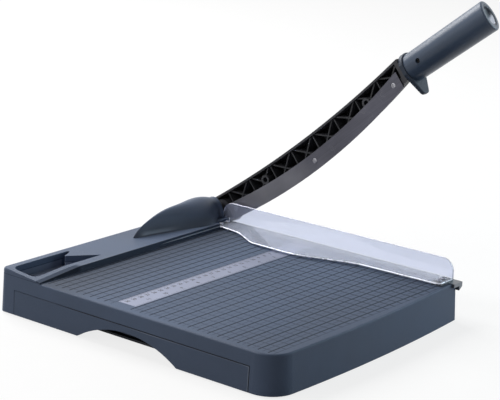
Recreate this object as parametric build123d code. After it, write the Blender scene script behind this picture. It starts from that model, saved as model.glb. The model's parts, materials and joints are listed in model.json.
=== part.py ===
import os
from math import atan, atan2, cos, degrees, hypot, pi, sin

from build123d import *

# Desk paper trimmer with a hinged cutting arm, clear guard, inlaid scale and a drawer in its base.
# X runs from the drawer side to the cutting side, Y from the user to the pivot, Z up.
# Sizes are millimetres and degrees. Heights are measured from the bottom edge of the base walls
# until the finished pieces are set down on their feet.

# Base moulding
base_width = 320.0
base_length = 379.0
deck_height = 42.0
deck_thickness = 3.0
wall = 3.0
draft = 2.0
front_corner = 28.0
back_corner = 8.0
cut_side_corner = 3.0
front_left_setback = 3.3
front_right_setback = 11.1
front_bow = 6.6
deck_edge_round = 2.0

# Fence rail along the back, with an open tray pocket at its drawer end
rail_depth = 60.0
rail_height = 6.5
rail_edge_round = 3.0
fence_fade_length = 62.0
fence_fade_drop = 5.5
pocket_depth = 14.0
pocket_skin = 2.0
pocket_left_lip = 7.5
pocket_front_lip = 12.5
pocket_width = 35.0
pocket_length = 81.0
pocket_corner = 8.0
tongue_reach = 12.0
tongue_slant = 18.0

# Teardrop hood over the pivot
hood_length = 133.0
hood_height = 25.7
hood_half_width = 27.0
hood_end_height = 21.5
hood_end_half_width = 16.0
hood_flare = 4.5
hood_section_points = 12
hood_wall = 2.5
hood_axis_to_back = 29.5
hood_boss_radius = 4.0
hood_screw_radius = 1.5
hood_screw_reach = 8.0

# Pivot
pivot_to_back = 31.5
pivot_rise = 9.0
pivot_bolt_radius = 6.0
pivot_bolt_head_radius = 11.0
pivot_bolt_head_height = 5.0
running_clearance = 0.05
thrust_gap = 0.3
cheek_thickness = 4.0
window_clearance = 1.0
cheek_to_cut_side = 6.0
bracket_thickness = 4.0
bracket_width = 36.0
bracket_drop = 24.0
bracket_ear_radius = 9.0
bracket_screw_radius = 2.0
bracket_screw_pitch = 8.5
spacer_wall = 2.5
spacer_gap = 0.3
bush_wall = 2.0
disc_spring_radius = 10.5
disc_spring_thickness = 1.0
disc_spring_cone = 0.8
nut_width = 18.0
nut_height = 7.0
bolt_overrun = 2.0
washer_thickness = 1.6
washer_radius = 11.5

# Knives
knife_reach = 5.5
knife_land = 10.0
knife_thickness = 4.0
knife_nose = 5.0
knife_nose_slope = 4.0
knife_front_overhang = 2.5
knife_screw_count = 5
knife_screw_inset = 3.5
knife_screw_radius = 1.5
blade_gap = 0.1
blade_thickness = 2.0
blade_start = 12.0
blade_to_handle = 7.0
blade_edge_root = -17.6
blade_edge_middle = -27.8
blade_edge_tip = -10.1
blade_back_root = 2.0
blade_back_middle = -9.0
blade_back_tip = 9.1
blade_bevel = 1.5
blade_screw_radius = 1.6
blade_screw_head_radius = 3.3
blade_screw_length = 8.0

# Cutting arm, drawn lying flat: along runs from the pivot to the handle, up is across it
arm_rest_angle = 38.9
arm_length = 319.5
arm_depth = 22.0
arm_web = 3.0
arm_rim = 2.5
arm_rib = 1.6
arm_rib_recess = 2.0
arm_rib_pitch = 37.5
arm_root_radius = 15.5
arm_root_back = 11.0
arm_root_round = 5.0
arm_top_root = 19.0
arm_top_middle = 10.6
arm_top_tip = 20.4
arm_edge_setback = 4.0
arm_lip_depth = 9.0
arm_lip_height = 5.5
arm_boss_radius = 5.5
arm_boss_drop = 13.5
insert_wall = 1.4

# Handle
grip_offset = 16.0
grip_rise = 5.5
grip_droop = 1.9
grip_length = 114.0
grip_root_radius = 16.3
grip_end_radius = 17.3
grip_bore_radius = 11.0
grip_bore_depth = 88.0
grip_end_round = 2.0
grip_end_slant = 16.0
tang_clearance = 0.1
tang_seat = 0.6
flange_radius = 18.3
flange_thickness = 5.0
flange_to_knife = 0.7
hook_drop = 31.5
hook_tip_width = 14.0
hook_corner = 5.0
plug_radius = 12.4
plug_thickness = 5.0
plug_recess = 1.5
plug_ring = 2.0
grip_screw_from_flange = 19.0
grip_screw_radius = 1.5

# Clear guard over the cutting edge
guard_thickness = 2.0
guard_lift = 2.0
guard_wall_height = 22.7
guard_to_edge = 8.1
guard_front_gap = 4.0
guard_back_reach = 7.5
guard_wall_overrun = 9.0
guard_end_round = 14.0
guard_narrow = 26.0
guard_wide = 52.4
guard_bend = 18.0
guard_sweep = 60.0
guard_seat_clearance = 0.4
guard_seat_wall = 1.5
guard_foot_width = 27.0
guard_screw_radius = 1.4
guard_pad_length = 12.0
guard_pad_width = 22.0

# Inlaid scale
ruler_width = 24.0
ruler_to_fence = 95.8
ruler_left_margin = 19.0
ruler_thickness = 1.0
ruler_proud = 0.15

# Drawer in the base
drawer_to_front = 34.5
drawer_to_back = 22.0
drawer_to_cut_side = 90.5
drawer_to_deck = 15.0
drawer_gap = 0.4
drawer_panel_depth = 4.5
drawer_wall = 2.0
drawer_floor_height = 6.0
drawer_top_gap = 2.0
drawer_side_gap = 5.0
notch_half_width = 68.0
notch_to_seam = 7.5
notch_shift = -1.05
finger_depth = 22.0
runner_lift_gap = 0.3
runner_width = 8.0
runner_height = 10.0
runner_wall = 3.0
bay_rib = 2.5
bay_rib_gap = 6.0

# Underside
plate_thickness = 2.5
plate_inset = 0.5
plate_clearance = 0.3
plate_screw_inset = 45.0
plate_screw_radius = 1.2
plate_screw_head_radius = 2.8
plate_screw_length = 12.0
boss_radius = 4.0
foot_radius = 9.0
foot_thickness = 2.0
screw_clearance = 0.05
head_height = 1.6
pan_head_ratio = 1.9

# Places worked out from the sizes above
left_x = -base_width / 2
cut_wall_x = base_width / 2
cut_x = cut_wall_x + knife_reach
back_y = base_length / 2
fence_y = back_y - rail_depth
rail_top = deck_height + rail_height
pivot_height = deck_height + pivot_rise
draft_angle = degrees(atan(draft / deck_height))
inner_inset = wall + draft * rail_top / deck_height
front_right_y = -back_y + front_right_setback
pivot_y = back_y - pivot_to_back
hood_y = back_y - hood_axis_to_back
bolt_hole_radius = pivot_bolt_radius + running_clearance
spacer_radius = bolt_hole_radius + spacer_wall
bush_radius = bolt_hole_radius + bush_wall
cheek_x = cut_wall_x - cheek_to_cut_side - cheek_thickness
bracket_x = cheek_x - bracket_thickness
spring_x = bracket_x - 2 * (disc_spring_thickness + disc_spring_cone)
nut_x = spring_x - nut_height
bolt_end_x = nut_x - bolt_overrun
blade_x = cut_x + blade_gap
arm_x = blade_x + blade_thickness
web_x = arm_x + arm_depth - arm_web
arm_out_x = arm_x + arm_depth
blade_end = arm_length - blade_to_handle
insert_radius = blade_screw_radius + screw_clearance + insert_wall
insert_end_x = arm_x + blade_screw_length
raise_arm = Pos(0, pivot_y, pivot_height) * Rot(-arm_rest_angle, 0, 0)
grip_place = Pos(arm_x + grip_offset, -arm_length, grip_rise) * Rot(90 + grip_droop, 0, 0)
plate_top = plate_inset + plate_thickness
ruler_back_y = fence_y - ruler_to_fence
knife_left_x = cut_wall_x - knife_land
knife_rest_z = deck_height - knife_thickness
knife_screw_x = knife_left_x + knife_screw_inset
knife_front_y = front_right_y - knife_front_overhang
guard_x = cut_x - guard_to_edge - guard_thickness
guard_z = deck_height + guard_lift
guard_front_y = front_right_y + guard_front_gap
guard_back_y = fence_y + guard_back_reach
drawer_front_y = -back_y + drawer_to_front
drawer_back_y = back_y - drawer_to_back
drawer_opening_height = deck_height - drawer_to_deck
drawer_top = drawer_opening_height - drawer_top_gap
notch_height = drawer_opening_height - notch_to_seam
notch_centre_y = (drawer_front_y + drawer_back_y) / 2 + notch_shift
tray_front_y = drawer_front_y + drawer_side_gap
tray_back_y = drawer_back_y - drawer_side_gap
panel_x = left_x + drawer_panel_depth
tray_back_x = cut_wall_x - drawer_to_cut_side
huge = 2 * (base_width + base_length)


def block(x0, x1, y0, y1, z0, z1):
    return Pos((x0 + x1) / 2, (y0 + y1) / 2, (z0 + z1) / 2) * Box(x1 - x0, y1 - y0, z1 - z0)


def group(pieces):
    return Compound([solid for piece in pieces for solid in piece.solids()])


def rod_x(radius, x0, x1, y, z):
    return Pos((x0 + x1) / 2, y, z) * Rot(0, 90, 0) * Cylinder(radius, x1 - x0)


def rod_z(radius, z0, z1, x, y):
    return Pos(x, y, (z0 + z1) / 2) * Cylinder(radius, z1 - z0)


def tube_x(outer, inner, x0, x1, y, z):
    return rod_x(outer, x0, x1, y, z) - rod_x(inner, x0 - 1, x1 + 1, y, z)


def side_prism(sketch, x0, x1):
    # A sketch of Y and Z carried from x0 to x1
    return extrude(Plane.YZ.offset(x0) * sketch, x1 - x0)


def arm_prism(sketch, x0, x1):
    # A sketch of along and up on the flat arm, carried from x0 to x1
    plane = Plane(origin=(x1, 0, 0), x_dir=(0, -1, 0), z_dir=(-1, 0, 0))
    return extrude(plane * sketch, x1 - x0)


def screw_z(shank_radius, length, x, y, z):
    # A pan head standing on height z, with its shank going down
    head = rod_z(shank_radius * pan_head_ratio, z, z + head_height, x, y)
    head = fillet(head.edges().group_by(Axis.Z)[-1], head_height / 2)
    return head + rod_z(shank_radius, z - length, z, x, y)


def parabola(along, length, root, middle, tip):
    # Height at one place on a curve through its root, middle and tip heights
    t = along / length
    return root * (1 - t) * (1 - 2 * t) + 4 * middle * t * (1 - t) + tip * t * (2 * t - 1)


# Base moulding
def base_plan(inset, cut_side_x):
    left = left_x + inset
    back = back_y - inset
    front_left = -back_y + front_left_setback + inset
    front_right = front_right_y + inset
    middle = ((left + cut_side_x) / 2, (front_left + front_right) / 2 - front_bow)
    outline = [
        ThreePointArc((left, front_left), middle, (cut_side_x, front_right)),
        Line((cut_side_x, front_right), (cut_side_x, back)),
        Line((cut_side_x, back), (left, back)),
        Line((left, back), (left, front_left)),
    ]
    face = make_face(outline)
    for corner, radius in (((left, front_left, 0), front_corner), ((left, back, 0), back_corner)):
        face = fillet(face.vertices().sort_by_distance(corner)[0], radius - inset)
    return face


def drafted_block(height, edge_round):
    # Walls leaning in by the draft on three sides, upright and square on the cutting side
    solid = extrude(base_plan(0, cut_wall_x + 2 * draft), height, taper=draft_angle)
    solid = solid & block(-huge, cut_wall_x, -huge, huge, 0, huge)
    cut_side = solid.edges().filter_by(lambda e: e.center().X > cut_wall_x - 0.1)
    solid = fillet(cut_side.filter_by(lambda e: abs(e.tangent_at(0.5).Z) > 0.9), cut_side_corner)
    rim = solid.edges().group_by(Axis.Z)[-1].filter_by(lambda e: e.center().X < cut_wall_x - 0.1)
    return fillet(rim, edge_round)


def pocket_plan():
    left = left_x + pocket_left_lip
    front = fence_y + pocket_front_lip
    back = front + pocket_width
    notch = left + pocket_length
    tip = notch - tongue_reach
    tip_y = back - pocket_width * 0.3
    point = notch + tongue_slant
    small = pocket_corner / 4
    outline = [
        Line((left, front + pocket_corner), (left, back - pocket_corner)),
        RadiusArc((left, back - pocket_corner), (left + pocket_corner, back), pocket_corner),
        Line((left + pocket_corner, back), (notch, back)),
        ThreePointArc((notch, back), (notch + small, back - small), (notch, back - 2 * small)),
        Line((notch, back - 2 * small), (tip, tip_y + small / 2)),
        ThreePointArc((tip, tip_y + small / 2), (tip - small / 2, tip_y), (tip, tip_y - small / 2)),
        Line((tip, tip_y - small / 2), (point, front)),
        Line((point, front), (left + pocket_corner, front)),
        RadiusArc((left + pocket_corner, front), (left, front + pocket_corner), pocket_corner),
    ]
    return make_face(outline)


def hood_section(half_width, height, flare):
    # Half an ellipse where the flare is 1, and a bell with a spreading skirt where it is larger
    turns = [pi * k / hood_section_points for k in range(hood_section_points + 1)]
    points = [(hood_y + half_width * cos(t), rail_top + height * sin(t) ** flare) for t in turns[1:-1]]
    arc = Spline([(hood_y + half_width, rail_top)] + points + [(hood_y - half_width, rail_top)])
    return make_face([arc, Line(arc @ 1, arc @ 0)])


def plate_screw_places():
    lanes = [(-back_y + drawer_front_y) / 2, (back_y + drawer_back_y) / 2]
    bay_x = cut_wall_x - plate_screw_inset
    places = [(x, y) for y in lanes for x in (left_x + plate_screw_inset, 0)]
    places += [(bay_x, lanes[0] + wall), (bay_x, lanes[1]), (bay_x, 0)]
    return places


def knife_screw_places():
    first = front_right_y + 4 * wall
    step = (fence_y - 4 * wall - first) / (knife_screw_count - 1)
    return [first + k * step for k in range(knife_screw_count)]


def hood_screw_places():
    tip = cheek_x - hood_length
    return [tip + hood_length * share for share in (0.4, 0.68)]


def bracket_screw_places():
    reach = bracket_width / 2 - 2 * bracket_screw_radius
    low = pivot_height - bracket_drop + 2.5 * bracket_screw_radius
    return [(pivot_y + side * reach, low + rise) for side in (-1, 1) for rise in (0, bracket_screw_pitch)]


def guard_screw_places():
    foot = [(guard_x - guard_foot_width * share, fence_y + guard_back_reach / 2) for share in (0.25, 0.7)]
    pad_y = guard_front_y + guard_pad_length / 2
    pad = [(guard_x - guard_pad_width * share, pad_y) for share in (0.38, 0.75)]
    return foot + pad


def above_fade():
    # Everything above the slope that lowers the rail's front edge towards the drawer side
    run = fence_fade_length
    drop = fence_fade_drop
    corner = (left_x, fence_y, rail_top - drop)
    slope = Plane(corner, x_dir=(run, 0, drop), z_dir=(-drop * rail_depth, -run * drop, run * rail_depth))
    return slope * block(-huge, huge, -huge, huge, 0, huge)


def make_base_shell():
    deck = drafted_block(deck_height, deck_edge_round) & block(-huge, huge, -huge, fence_y, 0, huge)
    rail = drafted_block(rail_top, rail_edge_round) & block(-huge, huge, fence_y, huge, 0, huge)
    rail -= above_fade()
    outer = deck + rail
    plan = base_plan(inner_inset, cut_wall_x - wall)
    cavity = extrude(Pos(0, 0, -1) * plan, deck_height - deck_thickness + 1)
    rail_cavity = extrude(plan, rail_top - deck_thickness) - Pos(0, 0, -deck_thickness) * above_fade()
    cavity += rail_cavity & block(-huge, huge, fence_y + wall, huge, 0, huge)
    shell = outer - cavity
    inside = extrude(plan, rail_top - deck_thickness) & outer

    rib_x = tray_back_x + bay_rib_gap
    bay_front = drawer_front_y - bay_rib
    bay_back = drawer_back_y
    ribs = block(rib_x, rib_x + bay_rib, -back_y, back_y, plate_top, rail_top)
    ribs += block(panel_x + wall, rib_x, bay_front, bay_front + bay_rib, plate_top, rail_top)
    ribs += block(panel_x + wall, rib_x, bay_back, bay_back + bay_rib, plate_top, rail_top)
    for x, y in plate_screw_places():
        ribs += rod_z(boss_radius, plate_top, rail_top, x, y)
    shell += ribs & inside

    ledge = block(knife_left_x - wall, cut_wall_x, front_right_y + wall, fence_y + wall,
                  knife_rest_z - wall, deck_height)
    shell += ledge & outer
    seat_x = guard_x + guard_thickness - guard_foot_width - guard_seat_clearance
    seat_y = guard_back_y + guard_seat_clearance
    seat = block(seat_x - wall, cut_wall_x, fence_y, seat_y + guard_seat_wall,
                 guard_z - deck_thickness, rail_top)
    shell += seat & outer
    cheek = block(cheek_x, cheek_x + cheek_thickness, fence_y + 1, back_y - wall,
                  pivot_height - bracket_drop, rail_top)
    shell += cheek & outer
    shell += side_prism(hood_section(hood_end_half_width, hood_end_height, 1),
                        cheek_x, cheek_x + cheek_thickness)

    pocket = pocket_plan()
    tub = extrude(Pos(0, 0, rail_top - pocket_depth - pocket_skin) * offset(pocket, pocket_skin),
                  pocket_depth + pocket_skin / 2)
    shell += tub & outer
    shell -= extrude(Pos(0, 0, rail_top - pocket_depth) * pocket, pocket_depth + 1)

    shell -= block(left_x - 1, panel_x + wall, drawer_front_y, drawer_back_y, -1, drawer_opening_height)
    shell -= block(knife_left_x, cut_wall_x + 1, -huge, fence_y, knife_rest_z, deck_height + 1)
    shell -= block(left_x + ruler_left_margin, knife_left_x, ruler_back_y - ruler_width, ruler_back_y,
                   deck_height + ruler_proud - ruler_thickness, deck_height + 1)
    shell -= block(seat_x, cut_wall_x + 1, fence_y - 1, seat_y, guard_z, rail_top + 1)

    window = disc_spring_radius + window_clearance
    shell -= block(bolt_end_x - window_clearance, cheek_x, pivot_y - window, pivot_y + window,
                   rail_top - deck_thickness - 1, rail_top + 1)
    shell -= rod_x(bolt_hole_radius, cheek_x - 1, cut_wall_x + 1, pivot_y, pivot_height)
    shell -= rod_x(spacer_radius + spacer_gap, cheek_x + cheek_thickness, cut_wall_x + 1,
                   pivot_y, pivot_height)

    for x, y in plate_screw_places():
        hole = plate_screw_radius + screw_clearance
        shell -= rod_z(hole, plate_top - 1, plate_top + plate_screw_length, x, y)
    for y in knife_screw_places():
        shell -= rod_z(knife_screw_radius + screw_clearance, knife_rest_z - wall - 1, knife_rest_z + 1,
                       knife_screw_x, y)
    for x in hood_screw_places():
        shell -= rod_z(hood_screw_radius + screw_clearance, rail_top - deck_thickness - 1, rail_top + 1,
                       x, hood_y)
    for y, z in bracket_screw_places():
        shell -= rod_x(bracket_screw_radius + screw_clearance, cheek_x - 1,
                       cheek_x + cheek_thickness + 1, y, z)
    for x, y in guard_screw_places():
        top = guard_z if y > fence_y else deck_height
        shell -= rod_z(guard_screw_radius + screw_clearance, top - deck_thickness - 1, top + 1, x, y)
    return shell


def make_bottom_plate():
    plan = base_plan(inner_inset + plate_clearance, cut_wall_x - wall - plate_clearance)
    plate = extrude(Pos(0, 0, plate_inset) * plan, plate_thickness)
    plate -= block(left_x, panel_x + finger_depth, notch_centre_y - notch_half_width,
                   notch_centre_y + notch_half_width, -1, plate_top + 1)
    for x, y in plate_screw_places():
        plate -= rod_z(plate_screw_radius + screw_clearance, -1, plate_top + 1, x, y)
        plate -= rod_z(plate_screw_head_radius + screw_clearance, -1, plate_inset + head_height, x, y)
    return plate


def make_plate_screws():
    screws = []
    for x, y in plate_screw_places():
        head = rod_z(plate_screw_head_radius, plate_inset, plate_inset + head_height, x, y)
        tip = plate_top + plate_screw_length - 1
        screws.append(head + rod_z(plate_screw_radius, plate_inset, tip, x, y))
    return group(screws)


def make_feet():
    x = base_width / 2 - front_corner + foot_radius / 2
    y = back_y - front_corner + foot_radius / 2
    feet = []
    for side_x in (-1, 1):
        for side_y in (-1, 1):
            foot = rod_z(foot_radius, plate_inset - foot_thickness, plate_inset, side_x * x, side_y * y)
            feet.append(fillet(foot.edges().group_by(Axis.Z)[0], foot_thickness / 4))
    return group(feet)


# Fixed blade, scale and guard
def make_lower_knife():
    tip_z = deck_height - knife_nose
    outline = Polyline(
        (knife_left_x, deck_height), (cut_x, deck_height), (cut_x, tip_z),
        (cut_wall_x, tip_z - knife_nose_slope), (cut_wall_x, knife_rest_z), (knife_left_x, knife_rest_z),
        close=True)
    knife = extrude(Plane.XZ.offset(-fence_y) * make_face(outline), fence_y - knife_front_y)
    for y in knife_screw_places():
        knife -= rod_z(knife_screw_radius + screw_clearance, knife_rest_z - 1, deck_height - 1,
                       knife_screw_x, y)
    return knife


def make_knife_screws():
    under = knife_rest_z - wall
    screws = []
    for y in knife_screw_places():
        head = rod_z(knife_screw_radius * pan_head_ratio, under - head_height, under, knife_screw_x, y)
        screws.append(head + rod_z(knife_screw_radius, under - 1, deck_height - 1.5, knife_screw_x, y))
    return group(screws)


def make_ruler():
    return block(left_x + ruler_left_margin, knife_left_x, ruler_back_y - ruler_width, ruler_back_y,
                 deck_height + ruler_proud - ruler_thickness, deck_height + ruler_proud)


def make_guard():
    outer_x = guard_x + guard_thickness
    narrow_x = outer_x - guard_narrow
    wide_x = outer_x - guard_wide
    length = guard_back_y - guard_front_y
    path = FilletPolyline(
        (outer_x, guard_back_y), (outer_x - guard_foot_width, guard_back_y),
        (outer_x - guard_foot_width, fence_y - guard_thickness),
        (outer_x - guard_foot_width - 4, guard_back_y - 0.125 * length),
        (wide_x + 1, guard_back_y - 0.235 * length), (wide_x, guard_back_y - 0.435 * length),
        (narrow_x - 3, guard_back_y - 0.66 * length), (narrow_x, guard_front_y), (outer_x, guard_front_y),
        radius=[guard_thickness, guard_bend / 2, guard_bend, 1.5 * guard_bend, guard_sweep, guard_sweep,
                2 * guard_thickness])
    flange_face = make_face([path, Line(path @ 1, path @ 0)])
    flange = extrude(Pos(0, 0, guard_z) * flange_face, guard_thickness)
    step_z = rail_top + guard_seat_clearance
    top_z = guard_z + guard_wall_height
    end_y = guard_back_y + guard_wall_overrun
    profile = make_face(Polyline(
        (guard_front_y, guard_z), (guard_back_y, guard_z), (guard_back_y, step_z), (end_y, step_z),
        (end_y, top_z), (guard_front_y, top_z), close=True))
    ends = [v for v in profile.vertices() if v.Y > top_z - 1]
    profile = fillet(ends, guard_end_round)
    guard = flange + side_prism(profile, guard_x, outer_x)
    for x, y in guard_screw_places():
        guard -= rod_z(guard_screw_radius + screw_clearance, guard_z - 1, guard_z + guard_thickness + 1, x, y)
    return guard


def make_guard_pad():
    pad = block(guard_x - guard_pad_width, guard_x + guard_thickness, guard_front_y,
                guard_front_y + guard_pad_length, deck_height, guard_z)
    for x, y in guard_screw_places():
        pad -= rod_z(guard_screw_radius + screw_clearance, deck_height - 1, guard_z + 1, x, y)
    return pad


def make_guard_screws():
    top = guard_z + guard_thickness
    screws = []
    for x, y in guard_screw_places():
        seat = guard_z if y > fence_y else deck_height
        screws.append(screw_z(guard_screw_radius, top - seat + deck_thickness, x, y, top))
    return group(screws)


# Hood and pivot
def hood_loft(shrink):
    tip = cheek_x - hood_length
    end_w = hood_end_half_width
    end_h = hood_end_height
    stations = [(0.0, 0.03, 0.06), (0.15, 0.24, 0.55), (0.3, 0.44, 0.8), (0.46, 0.64, 0.925),
                (0.62, 0.85, 0.96), (0.76, 1.0, 1.0)]
    sections = [(s, hood_half_width * w, hood_height * h) for s, w, h in stations]
    sections.append((0.9, 0.6 * end_w + 0.4 * hood_half_width, (end_h + 3 * hood_height) / 4))
    sections.append((1.0, end_w, end_h))
    if shrink:
        sections = [s for s in sections if s[1] > 4 * shrink]
    faces = []
    for share, w, h in sections:
        flare = 1 + (hood_flare - 1) * (1 - share)
        faces.append(Plane.YZ.offset(tip + share * hood_length) * hood_section(w - shrink, h - shrink, flare))
    return loft(faces)


def make_hood():
    outer = hood_loft(0)
    inner = hood_loft(hood_wall)
    hood = outer - inner
    for x in hood_screw_places():
        boss = rod_z(hood_boss_radius, rail_top, rail_top + hood_height, x, hood_y) & outer
        hood += boss - rod_z(hood_screw_radius + screw_clearance, rail_top - 1,
                               rail_top + hood_screw_reach + 1, x, hood_y)
    return hood


def make_hood_screws():
    under = rail_top - deck_thickness
    screws = []
    for x in hood_screw_places():
        head = rod_z(hood_screw_radius * pan_head_ratio, under - head_height, under, x, hood_y)
        tip = rail_top + hood_screw_reach
        screws.append(head + rod_z(hood_screw_radius, under - head_height, tip, x, hood_y))
    return group(screws)


def make_pivot_bracket():
    low = pivot_height - bracket_drop
    plate = block(bracket_x, cheek_x, pivot_y - bracket_width / 2, pivot_y + bracket_width / 2,
                  low, rail_top - deck_thickness)
    ear = bracket_ear_radius
    plate += block(bracket_x, cheek_x, pivot_y - ear, pivot_y + ear, low, pivot_height)
    plate += rod_x(ear, bracket_x, cheek_x, pivot_y, pivot_height)
    plate -= rod_x(bolt_hole_radius, bracket_x - 1, cheek_x + 1, pivot_y, pivot_height)
    for y, z in bracket_screw_places():
        plate -= rod_x(bracket_screw_radius + screw_clearance, bracket_x - 1, cheek_x + 1, y, z)
    return plate


def make_bracket_screws():
    screws = []
    for y, z in bracket_screw_places():
        head = rod_x(bracket_screw_radius * pan_head_ratio, bracket_x - 2 * head_height, bracket_x, y, z)
        screws.append(head + rod_x(bracket_screw_radius, bracket_x - 1, cheek_x + cheek_thickness, y, z))
    return group(screws)


def make_pivot_bolt():
    head_x = arm_out_x + thrust_gap + washer_thickness
    bolt = rod_x(pivot_bolt_radius, bolt_end_x, head_x, pivot_y, pivot_height)
    head = rod_x(pivot_bolt_head_radius, head_x, head_x + pivot_bolt_head_height, pivot_y, pivot_height)
    head = fillet(head.edges().group_by(Axis.X)[-1], pivot_bolt_head_height * 0.6)
    return bolt + head


def make_pivot_washer():
    return tube_x(washer_radius, bolt_hole_radius, arm_out_x + thrust_gap,
                  arm_out_x + thrust_gap + washer_thickness, pivot_y, pivot_height)


def make_pivot_spacer():
    return tube_x(spacer_radius, bolt_hole_radius, cheek_x + cheek_thickness, arm_x - thrust_gap,
                  pivot_y, pivot_height)


def make_disc_springs():
    # Two coned rings set rim to rim
    inner = pivot_bolt_radius + 2 * running_clearance
    cone = disc_spring_cone
    thick = disc_spring_thickness
    first = make_face(Polyline((inner, 0), (disc_spring_radius, cone), (disc_spring_radius, cone + thick),
                               (inner, thick), close=True))
    ring = revolve(Plane.XZ * first, Axis.Z)
    place = Pos(0, pivot_y, pivot_height)
    low = place * Pos(spring_x, 0, 0) * Rot(0, 90, 0) * ring
    high = place * Pos(bracket_x, 0, 0) * Rot(0, -90, 0) * ring
    return group([low, high])


def make_pivot_nut():
    hexagon = RegularPolygon(nut_width / 2, 6, major_radius=False)
    nut = side_prism(Pos(pivot_y, pivot_height) * hexagon, nut_x, spring_x)
    return nut - rod_x(bolt_hole_radius, nut_x - 1, spring_x + 1, pivot_y, pivot_height)


# Cutting arm, made lying flat with the pivot at the origin and then raised
def arm_height(along):
    top = parabola(along, arm_length, arm_top_root, arm_top_middle, arm_top_tip)
    edge = parabola(along, arm_length, blade_edge_root, blade_edge_middle, blade_edge_tip)
    return top, edge + arm_edge_setback + arm_lip_height


def arm_plan(lip):
    # Outline of the beam, or of the deeper lip that carries the blade
    top_0, low_0 = arm_height(0)
    top_1, low_1 = arm_height(arm_length / 2)
    top_2, low_2 = arm_height(arm_length)
    outline = [
        ThreePointArc((-arm_root_back, top_0), (arm_length / 2, top_1), (arm_length, top_2)),
        Line((arm_length, top_2), (arm_length, low_2 - lip)),
        ThreePointArc((arm_length, low_2 - lip), (arm_length / 2, low_1 - lip), (0, low_0 - lip)),
        Line((0, low_0 - lip), (-arm_root_back, top_0)),
    ]
    face = make_face(outline)
    face = fillet(face.vertices().sort_by_distance((-arm_root_back, top_0, 0))[0], arm_root_round)
    return face + Circle(arm_root_radius)


def strip(start, end, width):
    run = (end[0] - start[0], end[1] - start[1])
    turn = degrees(atan2(run[1], run[0]))
    middle = ((start[0] + end[0]) / 2, (start[1] + end[1]) / 2)
    return Pos(*middle) * Rot(0, 0, turn) * Rectangle(hypot(*run), width)


def arm_lattice():
    lattice = Sketch()
    count = int((arm_length - arm_root_radius / 2) / arm_rib_pitch)
    start = arm_length - count * arm_rib_pitch
    for k in range(count):
        near = start + k * arm_rib_pitch
        far = near + arm_rib_pitch
        near_top, near_low = arm_height(near)
        far_top, far_low = arm_height(far)
        lattice += strip((near, near_top), (near, near_low), arm_rib)
        lattice += strip((near, near_top), (far, far_low), arm_rib)
        lattice += strip((near, near_low), (far, far_top), arm_rib)
    return lattice


def blade_height(along):
    span = blade_end - blade_start
    at = along - blade_start
    back = parabola(at, span, blade_back_root, blade_back_middle, blade_back_tip)
    edge = parabola(at, span, blade_edge_root, blade_edge_middle, blade_edge_tip)
    return back, edge


def blade_screw_places():
    span = blade_end - blade_start
    places = []
    for share in (0.035, 0.487, 0.963):
        along = blade_start + share * span
        back, edge = blade_height(along)
        places.append((along, back - 0.45 * (back - edge)))
    return places


def arm_boss_places():
    places = []
    for along in (0.25 * arm_length, 0.806 * arm_length):
        places.append((along, arm_height(along)[0] - arm_boss_drop))
    return places


def make_arm_beam():
    plan = arm_plan(0)
    inner = offset(plan, -arm_rim)
    beam = arm_prism(plan, arm_x, arm_out_x)
    beam += arm_prism(arm_plan(arm_lip_height), arm_x, arm_x + arm_lip_depth)
    beam -= arm_prism(inner, arm_x - 1, web_x)
    beam += arm_prism(arm_lattice() & inner, arm_x + arm_rib_recess, web_x)
    beam += arm_prism(Circle(bush_radius + 2 * arm_rim), arm_x, arm_out_x)
    bosses = Sketch() + [Pos(*p) * Circle(arm_boss_radius) for p in blade_screw_places() + arm_boss_places()]
    beam += arm_prism(bosses & inner, arm_x, web_x)
    for p in arm_boss_places():
        beam -= arm_prism(Pos(*p) * Circle(arm_boss_radius - arm_rim), arm_x - 1, web_x)
    for p in blade_screw_places():
        beam -= arm_prism(Pos(*p) * Circle(insert_radius + screw_clearance), arm_x - 1, insert_end_x)
    beam -= arm_prism(Circle(bush_radius + screw_clearance), arm_x - 1, arm_out_x + 1)
    end_top, end_low = arm_height(arm_length)
    cap = Pos(arm_length - arm_rim, (end_top + end_low) / 2) * Rectangle(2 * arm_rim, end_top - end_low)
    beam += arm_prism(cap & plan, arm_x, arm_out_x)
    tang = rod_z(grip_bore_radius - tang_clearance, -tang_seat, grip_bore_depth - 1, 0, 0)
    tang -= grip_screw_hole(grip_screw_radius + screw_clearance)
    beam += grip_place * tang
    return raise_arm * beam


def make_pivot_bush():
    return raise_arm * tube_x(bush_radius, bolt_hole_radius, arm_x, arm_out_x, 0, 0)


def make_upper_blade():
    back_0, edge_0 = blade_height(blade_start)
    middle = (blade_start + blade_end) / 2
    back_1, edge_1 = blade_height(middle)
    back_2, edge_2 = blade_height(blade_end)
    outline = [
        ThreePointArc((blade_start, back_0), (middle, back_1), (blade_end, back_2)),
        Line((blade_end, back_2), (blade_end, edge_2)),
        ThreePointArc((blade_end, edge_2), (middle, edge_1), (blade_start, edge_0)),
        Line((blade_start, edge_0), (blade_start, back_0)),
    ]
    blade = arm_prism(make_face(outline), blade_x, arm_x)
    keen = blade.edges().filter_by(GeomType.CIRCLE).group_by(Axis.X)[-1].sort_by(Axis.Z)[0]
    blade = chamfer(keen, blade_bevel, blade_bevel / 2)
    for along, up in blade_screw_places():
        hole = screw_head(blade_screw_radius + screw_clearance, blade_screw_head_radius + screw_clearance)
        blade -= Pos(blade_x, -along, up) * hole
        blade -= rod_x(blade_screw_radius + screw_clearance, blade_x, arm_x + 1, -along, up)
    return raise_arm * blade


def screw_head(shank, head):
    # A countersunk head that sinks into the blade from its flat face
    depth = blade_thickness - 0.2
    return Rot(0, 90, 0) * Pos(0, 0, depth / 2) * Cone(head, shank, depth)


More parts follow.
